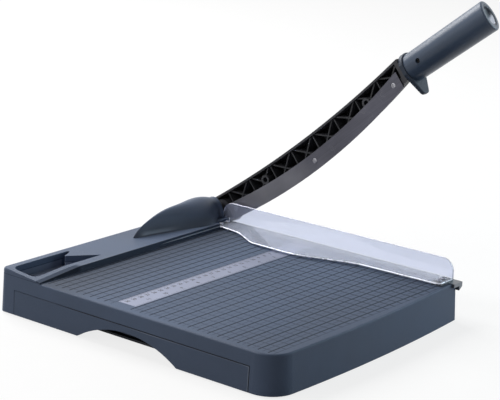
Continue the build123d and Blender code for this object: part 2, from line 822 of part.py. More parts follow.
def make_blade_screws():
    screws = []
    for along, up in blade_screw_places():
        head = Pos(blade_x, -along, up) * screw_head(blade_screw_radius, blade_screw_head_radius)
        shank = rod_x(blade_screw_radius, blade_x + blade_thickness / 2, insert_end_x - 1, -along, up)
        screws.append(raise_arm * (head + shank))
    return group(screws)


def make_blade_inserts():
    inner = blade_screw_radius + screw_clearance
    inserts = []
    for along, up in blade_screw_places():
        inserts.append(raise_arm * tube_x(insert_radius, inner, arm_x, insert_end_x, -along, up))
    return group(inserts)


# Handle, made along its own axis from the arm's end
def grip_screw_hole(radius):
    return rod_x(radius, -2 * grip_end_radius, 0, 0, flange_thickness + grip_screw_from_flange)


def grip_end_place():
    # The end faces a little away from the base
    return Pos(0, 0, flange_thickness + grip_length) * Rot(0, grip_end_slant, 0)


def grip_body():
    spare = grip_end_radius
    length = grip_length + spare
    wide = grip_root_radius + (grip_end_radius - grip_root_radius) * length / grip_length
    body = Pos(0, 0, flange_thickness + length / 2) * Cone(grip_root_radius, wide, length)
    body -= grip_end_place() * block(-huge, huge, -huge, huge, 0, huge)
    return fillet(body.edges().sort_by(Axis.Z)[-1], grip_end_round)


def make_finger_guard():
    corner_y = hook_corner - hook_drop
    corner_x = hook_tip_width / 2 - hook_corner
    tips = [Pos(side * corner_x, corner_y) * Circle(hook_corner) for side in (-1, 1)]
    rims = [edge for disc in [Circle(flange_radius)] + tips for edge in disc.edges()]
    plate = Pos(0, 0, -tang_seat) * make_hull(rims)
    guard = extrude(plate, flange_thickness + tang_seat)
    guard = fillet(guard.edges().group_by(Axis.Z)[-1], flange_thickness / 3)
    guard -= rod_z(grip_bore_radius, -1, flange_thickness + 1, 0, 0)
    flat_x = cut_x + flange_to_knife - arm_x - grip_offset
    guard -= block(-huge, flat_x, -huge, huge, -1, flange_thickness + 1)
    guard = grip_place * guard - block(0, huge, -arm_length, 0, -huge, huge)
    return raise_arm * guard


def make_grip():
    body = grip_body()
    body -= rod_z(grip_bore_radius, -1, grip_bore_depth, 0, 0)
    body -= grip_end_place() * rod_z(plug_radius + screw_clearance, -plug_recess - plug_thickness, 1, 0, 0)
    body -= grip_screw_hole(grip_screw_radius * pan_head_ratio + screw_clearance)
    return raise_arm * grip_place * body


def make_end_plug():
    plug = rod_z(plug_radius, -plug_recess - plug_thickness, -plug_recess, 0, 0)
    dish = plug_radius - plug_ring
    depth = plug_thickness / 3
    sphere = (dish * dish + depth * depth) / (2 * depth)
    plug -= Pos(0, 0, sphere - depth - plug_recess) * Sphere(sphere)
    return raise_arm * grip_place * grip_end_place() * plug


def make_grip_screw():
    at = flange_thickness + grip_screw_from_flange
    seat = -grip_bore_radius
    head = rod_x(grip_screw_radius * pan_head_ratio, seat - 2 * head_height, seat, 0, at)
    return raise_arm * grip_place * (head + rod_x(grip_screw_radius, seat - 1, -1, 0, at))


# Drawer
def make_drawer():
    skin = drafted_block(deck_height, deck_edge_round)
    panel = skin & block(-huge, panel_x, drawer_front_y + drawer_gap, drawer_back_y - drawer_gap,
                         0, drawer_opening_height - drawer_gap)
    tray = block(panel_x, tray_back_x, tray_front_y, tray_back_y, drawer_floor_height, drawer_top)
    tray -= block(panel_x, tray_back_x - drawer_wall, tray_front_y + drawer_wall,
                  tray_back_y - drawer_wall, drawer_floor_height + drawer_wall, drawer_top + 1)
    half = notch_half_width + drawer_wall
    roof = notch_height + drawer_wall
    recess = block(panel_x, panel_x + finger_depth + drawer_wall, notch_centre_y - half,
                   notch_centre_y + half, drawer_floor_height, roof + drawer_wall)
    drawer = panel + tray + recess
    drawer -= block(panel_x, panel_x + finger_depth, notch_centre_y - notch_half_width,
                    notch_centre_y + notch_half_width, -1, roof)
    arch = ThreePointArc((notch_centre_y - notch_half_width, 0), (notch_centre_y, notch_height),
                         (notch_centre_y + notch_half_width, 0))
    opening = make_face([arch, Polyline(arch @ 1, arch @ 1 - (0, 1), arch @ 0 - (0, 1), arch @ 0)])
    return drawer - side_prism(opening, left_x - 1, panel_x + 1)


def make_runner(edge_y, outward):
    # An angle strip: the foot carries the tray and the upright guides its side
    low = plate_top
    carry = drawer_floor_height - runner_lift_gap
    guide = edge_y + outward * drawer_gap
    far = guide + outward * runner_wall
    near = edge_y - outward * (runner_width - runner_wall)
    start = panel_x + wall
    foot = block(start, tray_back_x, min(near, far), max(near, far), low, carry)
    upright = block(start, tray_back_x, min(guide, far), max(guide, far), low, low + runner_height)
    return foot + upright


nodes = {
    "base_shell": make_base_shell(),
    "bottom_plate": make_bottom_plate(),
    "plate_screws": make_plate_screws(),
    "rubber_feet": make_feet(),
    "lower_knife": make_lower_knife(),
    "knife_screws": make_knife_screws(),
    "ruler_strip": make_ruler(),
    "blade_guard": make_guard(),
    "guard_pad": make_guard_pad(),
    "guard_screws": make_guard_screws(),
    "pivot_hood": make_hood(),
    "hood_screws": make_hood_screws(),
    "pivot_bracket": make_pivot_bracket(),
    "bracket_screws": make_bracket_screws(),
    "pivot_bolt": make_pivot_bolt(),
    "pivot_washer": make_pivot_washer(),
    "pivot_spacer": make_pivot_spacer(),
    "disc_springs": make_disc_springs(),
    "pivot_nut": make_pivot_nut(),
    "runner_front": make_runner(tray_front_y, -1),
    "runner_back": make_runner(tray_back_y, 1),
    "drawer": make_drawer(),
    "arm_beam": make_arm_beam(),
    "pivot_bush": make_pivot_bush(),
    "upper_blade": make_upper_blade(),
    "blade_screws": make_blade_screws(),
    "blade_inserts": make_blade_inserts(),
    "finger_guard": make_finger_guard(),
    "grip": make_grip(),
    "grip_screw": make_grip_screw(),
    "end_plug": make_end_plug(),
}

# The origin is under the middle of the whole trimmer, on the surface that it stands on
boxes = [piece.bounding_box() for piece in nodes.values()]
middle_x = (min(b.min.X for b in boxes) + max(b.max.X for b in boxes)) / 2
middle_y = (min(b.min.Y for b in boxes) + max(b.max.Y for b in boxes)) / 2
to_origin = Pos(-middle_x, -middle_y, -min(b.min.Z for b in boxes))
os.makedirs("parts", exist_ok=True)
for name, piece in nodes.items():
    export_step(to_origin * piece, f"parts/{name}.step")

print("moved by", to_origin.position)
print("pivot axis through", (to_origin * Pos(cut_x, pivot_y, pivot_height)).position)
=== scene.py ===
import json
import math

import bpy
import numpy as np
from mathutils import Matrix, Vector


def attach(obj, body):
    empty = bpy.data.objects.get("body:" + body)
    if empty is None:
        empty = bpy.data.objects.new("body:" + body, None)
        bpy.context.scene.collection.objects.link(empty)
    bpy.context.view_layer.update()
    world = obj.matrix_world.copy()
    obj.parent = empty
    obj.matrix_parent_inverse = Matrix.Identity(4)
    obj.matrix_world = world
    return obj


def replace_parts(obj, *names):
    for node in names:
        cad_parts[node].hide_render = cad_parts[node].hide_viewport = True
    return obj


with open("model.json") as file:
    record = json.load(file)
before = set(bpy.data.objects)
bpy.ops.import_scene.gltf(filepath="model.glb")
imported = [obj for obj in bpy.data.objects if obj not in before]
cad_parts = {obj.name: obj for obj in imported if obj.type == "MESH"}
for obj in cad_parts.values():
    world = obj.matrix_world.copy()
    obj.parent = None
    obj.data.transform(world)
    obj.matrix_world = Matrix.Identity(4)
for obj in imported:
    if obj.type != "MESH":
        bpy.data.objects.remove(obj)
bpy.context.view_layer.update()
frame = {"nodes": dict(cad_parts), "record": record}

scene = bpy.context.scene
scene.view_settings.view_transform = "Standard"
nodes = frame["nodes"]
mm = 0.001

# camera: stands at eye, turned by azimuth about Z, then raised and rolled; the image is 500 x 400
view = {
    "eye": (-1.47115, -1.197541, 0.65340),
    "azimuth": -50.88,
    "elevation": 15.54,
    "roll": 1.82,
    "focalPixels": 1863.79,
    "imageWidth": 500,
    "sensor": 36.0,
    "clipEnd": 50,
}


def makeCamera(cfg):
    az, el, roll = (math.radians(cfg[k]) for k in ("azimuth", "elevation", "roll"))
    back = Vector((math.sin(az) * math.cos(el), -math.cos(az) * math.cos(el), math.sin(el)))
    right = Vector((math.cos(az), math.sin(az), 0))
    up = back.cross(right)
    rolledRight = right * math.cos(roll) + up * math.sin(roll)
    rolledUp = up * math.cos(roll) - right * math.sin(roll)
    lens = bpy.data.cameras.new("camera")
    lens.sensor_width = cfg["sensor"]
    lens.lens = cfg["focalPixels"] * cfg["sensor"] / cfg["imageWidth"]
    lens.clip_end = cfg["clipEnd"]
    holder = bpy.data.objects.new("camera", lens)
    turn = Matrix((rolledRight, rolledUp, back)).transposed()
    holder.matrix_world = Matrix.Translation(cfg["eye"]) @ turn.to_4x4()
    scene.collection.objects.link(holder)
    scene.camera = holder


makeCamera(view)
print("camera placed")


# shader building helpers
def newMaterial(name):
    mat = bpy.data.materials.new(name)
    mat.use_nodes = True
    return mat, mat.node_tree, mat.node_tree.nodes["Principled BSDF"]


def put(tree, socket, value):
    # a socket gets a link from another socket, or a plain value
    if isinstance(value, bpy.types.NodeSocket):
        tree.links.new(value, socket)
    else:
        socket.default_value = value


def calc(tree, op, a, b=0.0, c=0.0):
    node = tree.nodes.new("ShaderNodeMath")
    node.operation = op
    for socket, value in zip(node.inputs, (a, b, c)):
        put(tree, socket, value)
    return node.outputs[0]


def ramp(tree, value, low, high, toLow=0.0, toHigh=1.0):
    # soft step of value from low to high
    node = tree.nodes.new("ShaderNodeMapRange")
    node.interpolation_type = "SMOOTHSTEP"
    for socket, item in zip(node.inputs, (value, low, high, toLow, toHigh)):
        put(tree, socket, item)
    return node.outputs[0]


def mixColour(tree, share, first, second, kind="MIX"):
    node = tree.nodes.new("ShaderNodeMix")
    node.data_type = "RGBA"
    node.blend_type = kind
    put(tree, node.inputs[0], share)
    put(tree, node.inputs[6], first)
    put(tree, node.inputs[7], second)
    return node.outputs[2]


def noise(tree, vector, scale, detail=2.0, rough=0.5):
    node = tree.nodes.new("ShaderNodeTexNoise")
    put(tree, node.inputs["Vector"], vector)
    put(tree, node.inputs["Scale"], scale)
    node.inputs["Detail"].default_value = detail
    node.inputs["Roughness"].default_value = rough
    return node.outputs[0]


def objectPlace(tree):
    return tree.nodes.new("ShaderNodeTexCoord").outputs["Object"]


def axes(tree, vector):
    node = tree.nodes.new("ShaderNodeSeparateXYZ")
    put(tree, node.inputs[0], vector)
    return node.outputs[0], node.outputs[1], node.outputs[2]


def reopened(mat):
    # a finished material's tree, its shader and the colour that reaches it
    tree = mat.node_tree
    shader = tree.nodes["Principled BSDF"]
    return tree, shader, shader.inputs["Base Color"].links[0].from_socket


def seenRay(tree):
    # 1 for rays from the camera, in reflections and through clear sheets, 0 for the rest
    path = tree.nodes.new("ShaderNodeLightPath")
    direct = calc(tree, "MAXIMUM", path.outputs["Is Camera Ray"], path.outputs["Is Glossy Ray"])
    return calc(tree, "MAXIMUM", direct, path.outputs["Is Transmission Ray"])


def millimetres(tree):
    scale = tree.nodes.new("ShaderNodeVectorMath")
    scale.operation = "MULTIPLY"
    tree.links.new(objectPlace(tree), scale.inputs[0])
    scale.inputs[1].default_value = (1000, 1000, 1000)
    return axes(tree, scale.outputs[0])


def bumpTo(tree, shader, height, strength, distance):
    node = tree.nodes.new("ShaderNodeBump")
    node.inputs["Strength"].default_value = strength
    node.inputs["Distance"].default_value = distance
    put(tree, node.inputs["Height"], height)
    tree.links.new(node.outputs[0], shader.inputs["Normal"])


def newGroup(name, inputs, outputs):
    tree = bpy.data.node_groups.new(name, "ShaderNodeTree")
    for label, kind, value in inputs:
        socket = tree.interface.new_socket(label, in_out="INPUT", socket_type=kind)
        if value is not None:
            socket.default_value = value
    for label in outputs:
        tree.interface.new_socket(label, in_out="OUTPUT", socket_type="NodeSocketFloat")
    return tree, tree.nodes.new("NodeGroupInput").outputs, tree.nodes.new("NodeGroupOutput").inputs


def useGroup(tree, group, **values):
    node = tree.nodes.new("ShaderNodeGroup")
    node.node_tree = group
    for label, value in values.items():
        put(tree, node.inputs[label], value)
    return node.outputs


# moulded grain: pebbles from cell distance plus fine noise, and a slow cloud for uneven tone
def makeGrainGroup():
    tree, given, out = newGroup("mouldedGrain", [("Grain", "NodeSocketFloat", 1500.0),
                                                 ("Cloud", "NodeSocketFloat", 14.0)],
                                ["Height", "Tone", "Gloss"])
    place = objectPlace(tree)
    cells = tree.nodes.new("ShaderNodeTexVoronoi")
    cells.feature = "SMOOTH_F1"
    tree.links.new(place, cells.inputs["Vector"])
    tree.links.new(given["Grain"], cells.inputs["Scale"])
    fine = noise(tree, place, calc(tree, "MULTIPLY", given["Grain"], 1.7), 3.0)
    cloud = noise(tree, place, given["Cloud"], 4.0, 0.55)
    tree.links.new(calc(tree, "ADD", cells.outputs["Distance"], fine), out["Height"])
    tone = calc(tree, "ADD", calc(tree, "MULTIPLY", cloud, 0.7), calc(tree, "MULTIPLY", fine, 0.3))
    tree.links.new(tone, out["Tone"])
    tree.links.new(calc(tree, "ADD", calc(tree, "MULTIPLY", cloud, 0.5), 0.25), out["Gloss"])
    return tree


# hairlines: thin curved scratches where a slow noise crosses its middle value, kept to a few patches
def makeHairlineGroup():
    tree, given, out = newGroup("hairlines", [("Scale", "NodeSocketFloat", 60.0)], ["Mask"])
    place = objectPlace(tree)
    wave = noise(tree, place, given["Scale"], 1.0)
    line = ramp(tree, calc(tree, "ABSOLUTE", calc(tree, "SUBTRACT", wave, 0.5)), 0.0, 0.006, 1.0, 0.0)
    patch = ramp(tree, noise(tree, place, calc(tree, "MULTIPLY", given["Scale"], 0.45), 2.0), 0.52, 0.66)
    tree.links.new(calc(tree, "MULTIPLY", line, patch), out["Mask"])
    return tree


# drawn lines: noise squeezed across one direction, so that it runs as streaks along the other
def makeStreakGroup():
    tree, given, out = newGroup("drawnLines", [("Vector", "NodeSocketVector", None),
                                               ("Across", "NodeSocketFloat", 1800.0)],
                                ["Streak", "Patch"])
    squeeze = tree.nodes.new("ShaderNodeVectorMath")
    squeeze.operation = "MULTIPLY"
    tree.links.new(given["Vector"], squeeze.inputs[0])
    squeeze.inputs[1].default_value = (0.012, 1.0, 1.0)
    streak = noise(tree, squeeze.outputs[0], given["Across"], 3.0, 0.65)
    tree.links.new(streak, out["Streak"])
    tree.links.new(noise(tree, given["Vector"], 22.0, 3.0), out["Patch"])
    return tree


grainGroup = makeGrainGroup()
hairlineGroup = makeHairlineGroup()
streakGroup = makeStreakGroup()


def grey(tree, value):
    node = tree.nodes.new("ShaderNodeCombineColor")
    for socket in node.inputs:
        tree.links.new(value, socket)
    return node.outputs[0]


def toned(tree, colour, tone, amount):
    # the colour times 1 - amount/2 .. 1 + amount/2, as the tone goes 0.3 .. 0.7
    factor = ramp(tree, tone, 0.3, 0.7, 1 - amount / 2, 1 + amount / 2)
    return mixColour(tree, 1.0, (*colour, 1.0), grey(tree, factor), "MULTIPLY")


def plasticFinish(name, cfg):
    mat, tree, shader = newMaterial(name)
    grain = useGroup(tree, grainGroup, Grain=cfg["grain"], Cloud=cfg["cloud"])
    colour = toned(tree, cfg["colour"], grain["Tone"], cfg["mottle"])
    scuff = useGroup(tree, hairlineGroup, Scale=cfg["scuffScale"])["Mask"]
    colour = mixColour(tree, calc(tree, "MULTIPLY", scuff, cfg["scuff"]), colour, (*cfg["scuffColour"], 1))
    gloss = ramp(tree, grain["Gloss"], 0.35, 0.65, *cfg["rough"])
    tree.links.new(colour, shader.inputs["Base Color"])
    tree.links.new(gloss, shader.inputs["Roughness"])
    shader.inputs["Specular IOR Level"].default_value = cfg["specular"]
    bumpTo(tree, shader, grain["Height"], cfg["bump"], cfg["bumpDepth"])
    return mat


slate = {
    "colour": (0.074, 0.101, 0.160),
    "grain": 1500.0, "cloud": 14.0, "mottle": 0.18,
    "scuff": 0.10, "scuffScale": 55.0, "scuffColour": (0.16, 0.18, 0.22),
    "rough": (0.44, 0.54), "specular": 0.18, "bump": 0.30, "bumpDepth": 0.0004,
}

# deck grooves, millimetres in the part's own frame: lines along X, and weaker ones along Y
deckGrid = {
    "top": 43.5, "topReach": 0.3, "span": (-200, 129),
    "left": -171.5, "right": 128.5, "front": -176.0, "fence": 129.3,
    "rulerNear": 10.2, "rulerFar": 36.1,
    "coarseStart": 115.86, "coarsePitch": 10.0,
    "fineStart": 9.16, "finePitch": 6.35,
    "crossStart": -25.65, "crossPitch": 12.7,
    "halfWidth": 0.85, "soft": 0.4,
    "fineShare": 0.30, "crossShare": (-150.0, 60.0, 0.42, 0.78), "crossFenceShare": 0.34,
    "dark": 0.78, "grooveColour": (0.004, 0.005, 0.008), "grooveRough": 0.25, "grooveHeight": -1.6,
    "rough": 0.14,
    # painted shade: the deck darker towards the fence and the front edge, the rail where it slopes off, and
    # the fence's face
    "fencePaintedShade": (131.0, 45.0, 0.46), "frontPaintedShade": (-40.0, -180.0, 0.74),
    "slope": (130.5, 137.5, 44.0), "slopePaintedShade": (-114.0, -124.0, 0.52), "slopeRough": 0.42,
    "fenceFacePaintedShade": (130.3, 131.6, 43.9, 0.5),
    # painted light: the pocket's inside is paler
    "pocket": (-178.0, -100.0, 133.0, 179.5, 43.2), "pocketPaintedLightColour": (0.15, 0.175, 0.24),
}


def grooveLines(tree, along, start, pitch, cfg):
    # distance to the nearest line, a triangle wave of the pitch, turned into a soft-edged stripe
    near = calc(tree, "PINGPONG", calc(tree, "SUBTRACT", along, start), pitch / 2)
    return ramp(tree, near, cfg["halfWidth"] - cfg["soft"], cfg["halfWidth"] + cfg["soft"], 1.0, 0.0)


def between(tree, value, low, high):
    above, below = calc(tree, "GREATER_THAN", value, low), calc(tree, "LESS_THAN", value, high)
    return calc(tree, "MULTIPLY", above, below)


def deckGrooveMask(tree, cfg):
    x, y, z = millimetres(tree)
    deck = between(tree, z, cfg["top"] - cfg["topReach"], cfg["top"] + cfg["topReach"])
    field = calc(tree, "MULTIPLY", deck, between(tree, x, cfg["left"], cfg["right"]))
    fenceSide = calc(tree, "MULTIPLY", field, between(tree, y, cfg["rulerFar"], cfg["fence"]))
    nearSide = calc(tree, "MULTIPLY", field, between(tree, y, cfg["front"], cfg["rulerNear"]))
    coarse = grooveLines(tree, y, cfg["coarseStart"], cfg["coarsePitch"], cfg)
    fine = grooveLines(tree, y, cfg["fineStart"], cfg["finePitch"], cfg)
    fine = calc(tree, "MULTIPLY", fine, cfg["fineShare"])
    strong = grooveLines(tree, y, cfg["fineStart"], 2 * cfg["finePitch"], cfg)
    cross = grooveLines(tree, x, cfg["crossStart"], cfg["crossPitch"], cfg)
    nearLines = calc(tree, "MAXIMUM", calc(tree, "MAXIMUM", fine, strong),
                     calc(tree, "MULTIPLY", cross, ramp(tree, x, *cfg["crossShare"])))
    farLines = calc(tree, "MAXIMUM", coarse, calc(tree, "MULTIPLY", cross, cfg["crossFenceShare"]))
    nearLines = calc(tree, "MULTIPLY", nearSide, nearLines)
    lines = calc(tree, "MULTIPLY_ADD", fenceSide, farLines, nearLines)
    deck = calc(tree, "MULTIPLY", deck, between(tree, x, *cfg["span"]))
    # tone, painted shade: the deck is deeper near the fence and at the front edge, and so are the fence's
    # face and the rail where it slopes off; painted light: the pocket's inside is paler
    start, end, least = cfg["fencePaintedShade"]
    deckPaintedShadeFactor = ramp(tree, y, end, start, 1.0, least)
    start, end, least = cfg["frontPaintedShade"]
    deckPaintedShadeFactor = calc(tree, "MULTIPLY", deckPaintedShadeFactor, ramp(tree, y, end, start, least, 1.0))
    near, far, floor = cfg["slope"]
    slope = calc(tree, "MULTIPLY", between(tree, y, near, far), calc(tree, "GREATER_THAN", z, floor))
    start, end, least = cfg["slopePaintedShade"]
    slopePaintedShadeFactor = ramp(tree, x, end, start, least, 1.0)
    tone = calc(tree, "MULTIPLY_ADD", deck, calc(tree, "SUBTRACT", deckPaintedShadeFactor, 1.0), 1.0)
    slopePaintedShadeFactor = calc(tree, "MULTIPLY_ADD", slope, calc(tree, "SUBTRACT", slopePaintedShadeFactor, 1.0), 1.0)
    tone = calc(tree, "MULTIPLY", tone, slopePaintedShadeFactor)
    # painted shade on the fence's face
    low, high, floor, least = cfg["fenceFacePaintedShade"]
    face = calc(tree, "MULTIPLY", between(tree, y, low, high), calc(tree, "GREATER_THAN", z, floor))
    tone = calc(tree, "MULTIPLY", tone, calc(tree, "MULTIPLY_ADD", face, least - 1.0, 1.0))
    left, right, near, far, top = cfg["pocket"]
    pocket = calc(tree, "MULTIPLY", between(tree, x, left, right), between(tree, y, near, far))
    pocket = calc(tree, "MULTIPLY", pocket, ramp(tree, z, top - 1.0, top, 1.0, 0.0))
    dull = calc(tree, "MULTIPLY", slope, ramp(tree, x, end, start, 1.0, 0.0))
    return lines, deck, tone, pocket, dull


def basePlastic(cfg, grid):
    mat, tree, shader = newMaterial("basePlastic")
    grain = useGroup(tree, grainGroup, Grain=cfg["grain"], Cloud=cfg["cloud"])
    lines, deck, tone, pocket, dull = deckGrooveMask(tree, grid)
    colour = toned(tree, cfg["colour"], grain["Tone"], cfg["mottle"])
    # painted shade: the tone darkens the deck, the fence's face and the rail's slope
    colour = mixColour(tree, 1.0, colour, grey(tree, tone), "MULTIPLY")
    # painted light: a paler colour inside the pocket
    colour = mixColour(tree, pocket, colour, toned(tree, grid["pocketPaintedLightColour"], grain["Tone"], cfg["mottle"]))
    scuff = useGroup(tree, hairlineGroup, Scale=cfg["scuffScale"])["Mask"]
    colour = mixColour(tree, calc(tree, "MULTIPLY", scuff, cfg["scuff"]), colour, (*cfg["scuffColour"], 1))
    groove = calc(tree, "MULTIPLY", lines, grid["dark"])
    colour = mixColour(tree, groove, colour, (*grid["grooveColour"], 1))
    tree.links.new(colour, shader.inputs["Base Color"])
    gloss = ramp(tree, grain["Gloss"], 0.35, 0.65, *cfg["rough"])
    gloss = calc(tree, "MULTIPLY_ADD", deck, grid["rough"], gloss)
    gloss = calc(tree, "MULTIPLY_ADD", lines, grid["grooveRough"], gloss)
    gloss = calc(tree, "MULTIPLY_ADD", dull, grid["slopeRough"], gloss)
    tree.links.new(gloss, shader.inputs["Roughness"])
    shader.inputs["Specular IOR Level"].default_value = cfg["specular"]
    height = calc(tree, "MULTIPLY_ADD", lines, grid["grooveHeight"], grain["Height"])
    bumpTo(tree, shader, height, cfg["bump"], cfg["bumpDepth"])
    return mat


finishes = {"base_plastic": basePlastic(slate, deckGrid)}

# drawer: its front panel has a dark gap all round, painted shade in the seam, and a paler line along the
# rounded edge, a painted highlight
drawerFront = {
    **slate, "colour": (0.066, 0.090, 0.142), "cloud": 11.0,
    "face": -179.5, "top": 28.1, "near": -153.14, "far": 168.56,
    "seamPaintedShade": (0.35, 0.9), "seamPaintedShadeColour": (0.006, 0.007, 0.010), "edge": (0.7, 1.2, 1.8), "edgeShare": 0.75,
    "edgePaintedHighlightColour": (0.26, 0.30, 0.38), "gapFade": (60.0, 130.0, 0.35), "edgeFade": (-40.0, 20.0),
    "edgeScale": 16.0,
}


def drawerPlastic(cfg):
    mat = plasticFinish("drawerPlastic", cfg)
    tree, shader, plain = reopened(mat)
    x, y, z = millimetres(tree)
    fromNear, fromFar = calc(tree, "SUBTRACT", y, cfg["near"]), calc(tree, "SUBTRACT", cfg["far"], y)
    fromSides = calc(tree, "MINIMUM", fromNear, fromFar)
    inset = calc(tree, "MINIMUM", calc(tree, "SUBTRACT", cfg["top"], z), fromSides)
    front = calc(tree, "LESS_THAN", x, cfg["face"])
    # painted shade in the seam: a dark band just inside the panel's edge, fading along the drawer
    seamPaintedShade = calc(tree, "MULTIPLY", front, ramp(tree, inset, *cfg["seamPaintedShade"], 1.0, 0.0))
    start, end, least = cfg["gapFade"]
    seamPaintedShade = calc(tree, "MULTIPLY", seamPaintedShade, ramp(tree, y, start, end, 1.0, least))
    # painted highlight: a paler line along the rounded edge, broken in patches
    low, middle, high = cfg["edge"]
    line = calc(tree, "MULTIPLY", ramp(tree, inset, low, middle), ramp(tree, inset, middle, high, 1.0, 0.0))
    patches = noise(tree, objectPlace(tree), cfg["edgeScale"], 2.0)
    broken = ramp(tree, patches, 0.36, 0.55, 0.2, cfg["edgeShare"])
    broken = calc(tree, "MULTIPLY", broken, ramp(tree, y, *cfg["edgeFade"], 1.0, 0.0))
    line = calc(tree, "MULTIPLY", calc(tree, "MULTIPLY", line, front), broken)
    colour = mixColour(tree, line, plain, (*cfg["edgePaintedHighlightColour"], 1))
    put(tree, shader.inputs["Base Color"], mixColour(tree, seamPaintedShade, colour, (*cfg["seamPaintedShadeColour"], 1)))
    return mat


finishes["drawer_plastic"] = drawerPlastic(drawerFront)
finishes["inner_plastic"] = plasticFinish("innerPlastic", {
    **slate, "colour": (0.022, 0.025, 0.033), "rough": (0.5, 0.62), "mottle": 0.2})
finishes["grip_plastic"] = plasticFinish("gripPlastic", {
    **slate, "colour": (0.062, 0.089, 0.140), "grain": 2200.0,
    "rough": (0.27, 0.34), "specular": 0.36, "bump": 0.01})
finishes["rubber"] = plasticFinish("footRubber", {
    **slate, "colour": (0.012, 0.012, 0.013), "grain": 900.0,
    "rough": (0.7, 0.85), "specular": 0.3, "bump": 0.5})
print("plastic finishes made")

# arm: black satin, with a darker colour in patches on the ribs' front faces
armFinish = {
    **slate, "colour": (0.055, 0.056, 0.064), "grain": 1200.0, "mottle": 0.3,
    "rough": (0.40, 0.52), "specular": 0.3,
    "ribFace": 148.65, "ribBand": 0.7, "rubbed": (0.026, 0.027, 0.031), "wornScale": 130.0,
}


def armPlastic(cfg):
    mat = plasticFinish("armPlastic", cfg)
    tree, shader, plain = reopened(mat)
    x = axes(tree, objectPlace(tree))[0]
    offFace = calc(tree, "ABSOLUTE", calc(tree, "SUBTRACT", x, cfg["ribFace"] * mm))
    band = ramp(tree, offFace, 0.0, cfg["ribBand"] * mm, 1.0, 0.0)
    patches = ramp(tree, noise(tree, objectPlace(tree), cfg["wornScale"], 3.0), 0.3, 0.6, 0.4, 1.0)
    worn = calc(tree, "MULTIPLY", band, patches)
    # a darker colour in patches on the ribs' front faces
    put(tree, shader.inputs["Base Color"], mixColour(tree, worn, plain, (*cfg["rubbed"], 1)))
    return mat


finishes["arm_plastic"] = armPlastic(armFinish)


# steel: streaks along the piece change both tone and roughness; turn lays the streaks along its length
def steelFinish(name, cfg):
    mat, tree, shader = newMaterial(name)
    turned = tree.nodes.new("ShaderNodeMapping")
    turned.inputs["Rotation"].default_value = [math.radians(a) for a in cfg["turn"]]
    tree.links.new(objectPlace(tree), turned.inputs["Vector"])
    drawn = useGroup(tree, streakGroup, Vector=turned.outputs[0], Across=cfg["across"])
    patch = calc(tree, "MULTIPLY", drawn["Patch"], 1 - cfg["streakShare"])
    tone = calc(tree, "MULTIPLY_ADD", drawn["Streak"], cfg["streakShare"], patch)
    colour = toned(tree, cfg["colour"], tone, cfg["mottle"])
    scratch = useGroup(tree, hairlineGroup, Scale=cfg["scuffScale"])["Mask"]
    colour = mixColour(tree, calc(tree, "MULTIPLY", scratch, cfg["scuff"]), colour, (*cfg["scuffColour"], 1))
    tree.links.new(colour, shader.inputs["Base Color"])
    tree.links.new(ramp(tree, tone, 0.3, 0.7, *cfg["rough"]), shader.inputs["Roughness"])
    shader.inputs["Metallic"].default_value = cfg["metallic"]
    bumpTo(tree, shader, drawn["Streak"], cfg["bump"], cfg["bumpDepth"])
    return mat


bareSteel = {
    "colour": (0.33, 0.34, 0.36), "turn": (0, 0, 90), "across": 1800.0, "streakShare": 0.6,
    "mottle": 0.3, "metallic": 1.0, "rough": (0.28, 0.42),
    "scuff": 0.25, "scuffScale": 80.0, "scuffColour": (0.5, 0.5, 0.5), "bump": 0.08, "bumpDepth": 0.0002,
}
finishes["knife_steel"] = steelFinish("knifeSteel", {**bareSteel, "colour": (0.155, 0.168, 0.188)})

# blade: ground steel, paler towards the pivot end
bladeGrind = {
    **bareSteel, "colour": (0.090, 0.090, 0.110), "turn": (38.9, 0, 90), "rough": (0.36, 0.5), "mottle": 0.4,
    "paleBelow": 0.075, "plainAbove": 0.165, "paleEndColour": (0.23, 0.23, 0.255), "paleShare": 1.0,
    "cloudScale": 24.0, "cloudReach": 0.06,
}


def bladeSteel(cfg):
    mat = steelFinish("bladeSteel", cfg)
    tree, shader, plain = reopened(mat)
    z = axes(tree, objectPlace(tree))[2]
    cloud = calc(tree, "MULTIPLY", noise(tree, objectPlace(tree), cfg["cloudScale"], 3.0), cfg["cloudReach"])
    height = calc(tree, "ADD", z, cloud)
    low, high = (cfg[k] + cfg["cloudReach"] / 2 for k in ("paleBelow", "plainAbove"))
    # paler towards the pivot end, below a wavy height
    rubbed = ramp(tree, height, low, high, cfg["paleShare"], 0.0)
    put(tree, shader.inputs["Base Color"], mixColour(tree, rubbed, plain, (*cfg["paleEndColour"], 1)))
    return mat


finishes["blade_steel"] = bladeSteel(bladeGrind)
finishes["plated_steel"] = steelFinish("platedSteel", {
    **bareSteel, "colour": (0.50, 0.51, 0.52), "turn": (0, 0, 0), "rough": (0.22, 0.34), "mottle": 0.2})
finishes["scale_metal"] = steelFinish("scaleMetal", {
    **bareSteel, "colour": (0.225, 0.247, 0.335), "turn": (0, 0, 0), "metallic": 0.5,
    "rough": (0.42, 0.55), "mottle": 0.14, "scuff": 0.12, "bump": 0.05})
finishes["brass"] = steelFinish("turnedBrass", {
    **bareSteel, "colour": (0.13, 0.11, 0.08), "turn": (0, 0, 0), "scuffColour": (0.3, 0.26, 0.2)})
print("metal finishes made")

# clear guard: tinted, slightly hazy moulded sheet with faint slow ripples and rubbed hairlines
clearSheet = {
    "colour": (0.77, 0.815, 0.965), "footColour": (0.85, 0.895, 1.0), "footTop": (47.6, 48.4),
    "rough": (0.03, 0.10), "transmission": 0.82, "ior": 1.49, "mottle": 0.05,
    "cloudScale": 9.0, "hairScale": 45.0, "hairRough": 0.12, "bump": 0.02, "bumpDepth": 0.002,
}


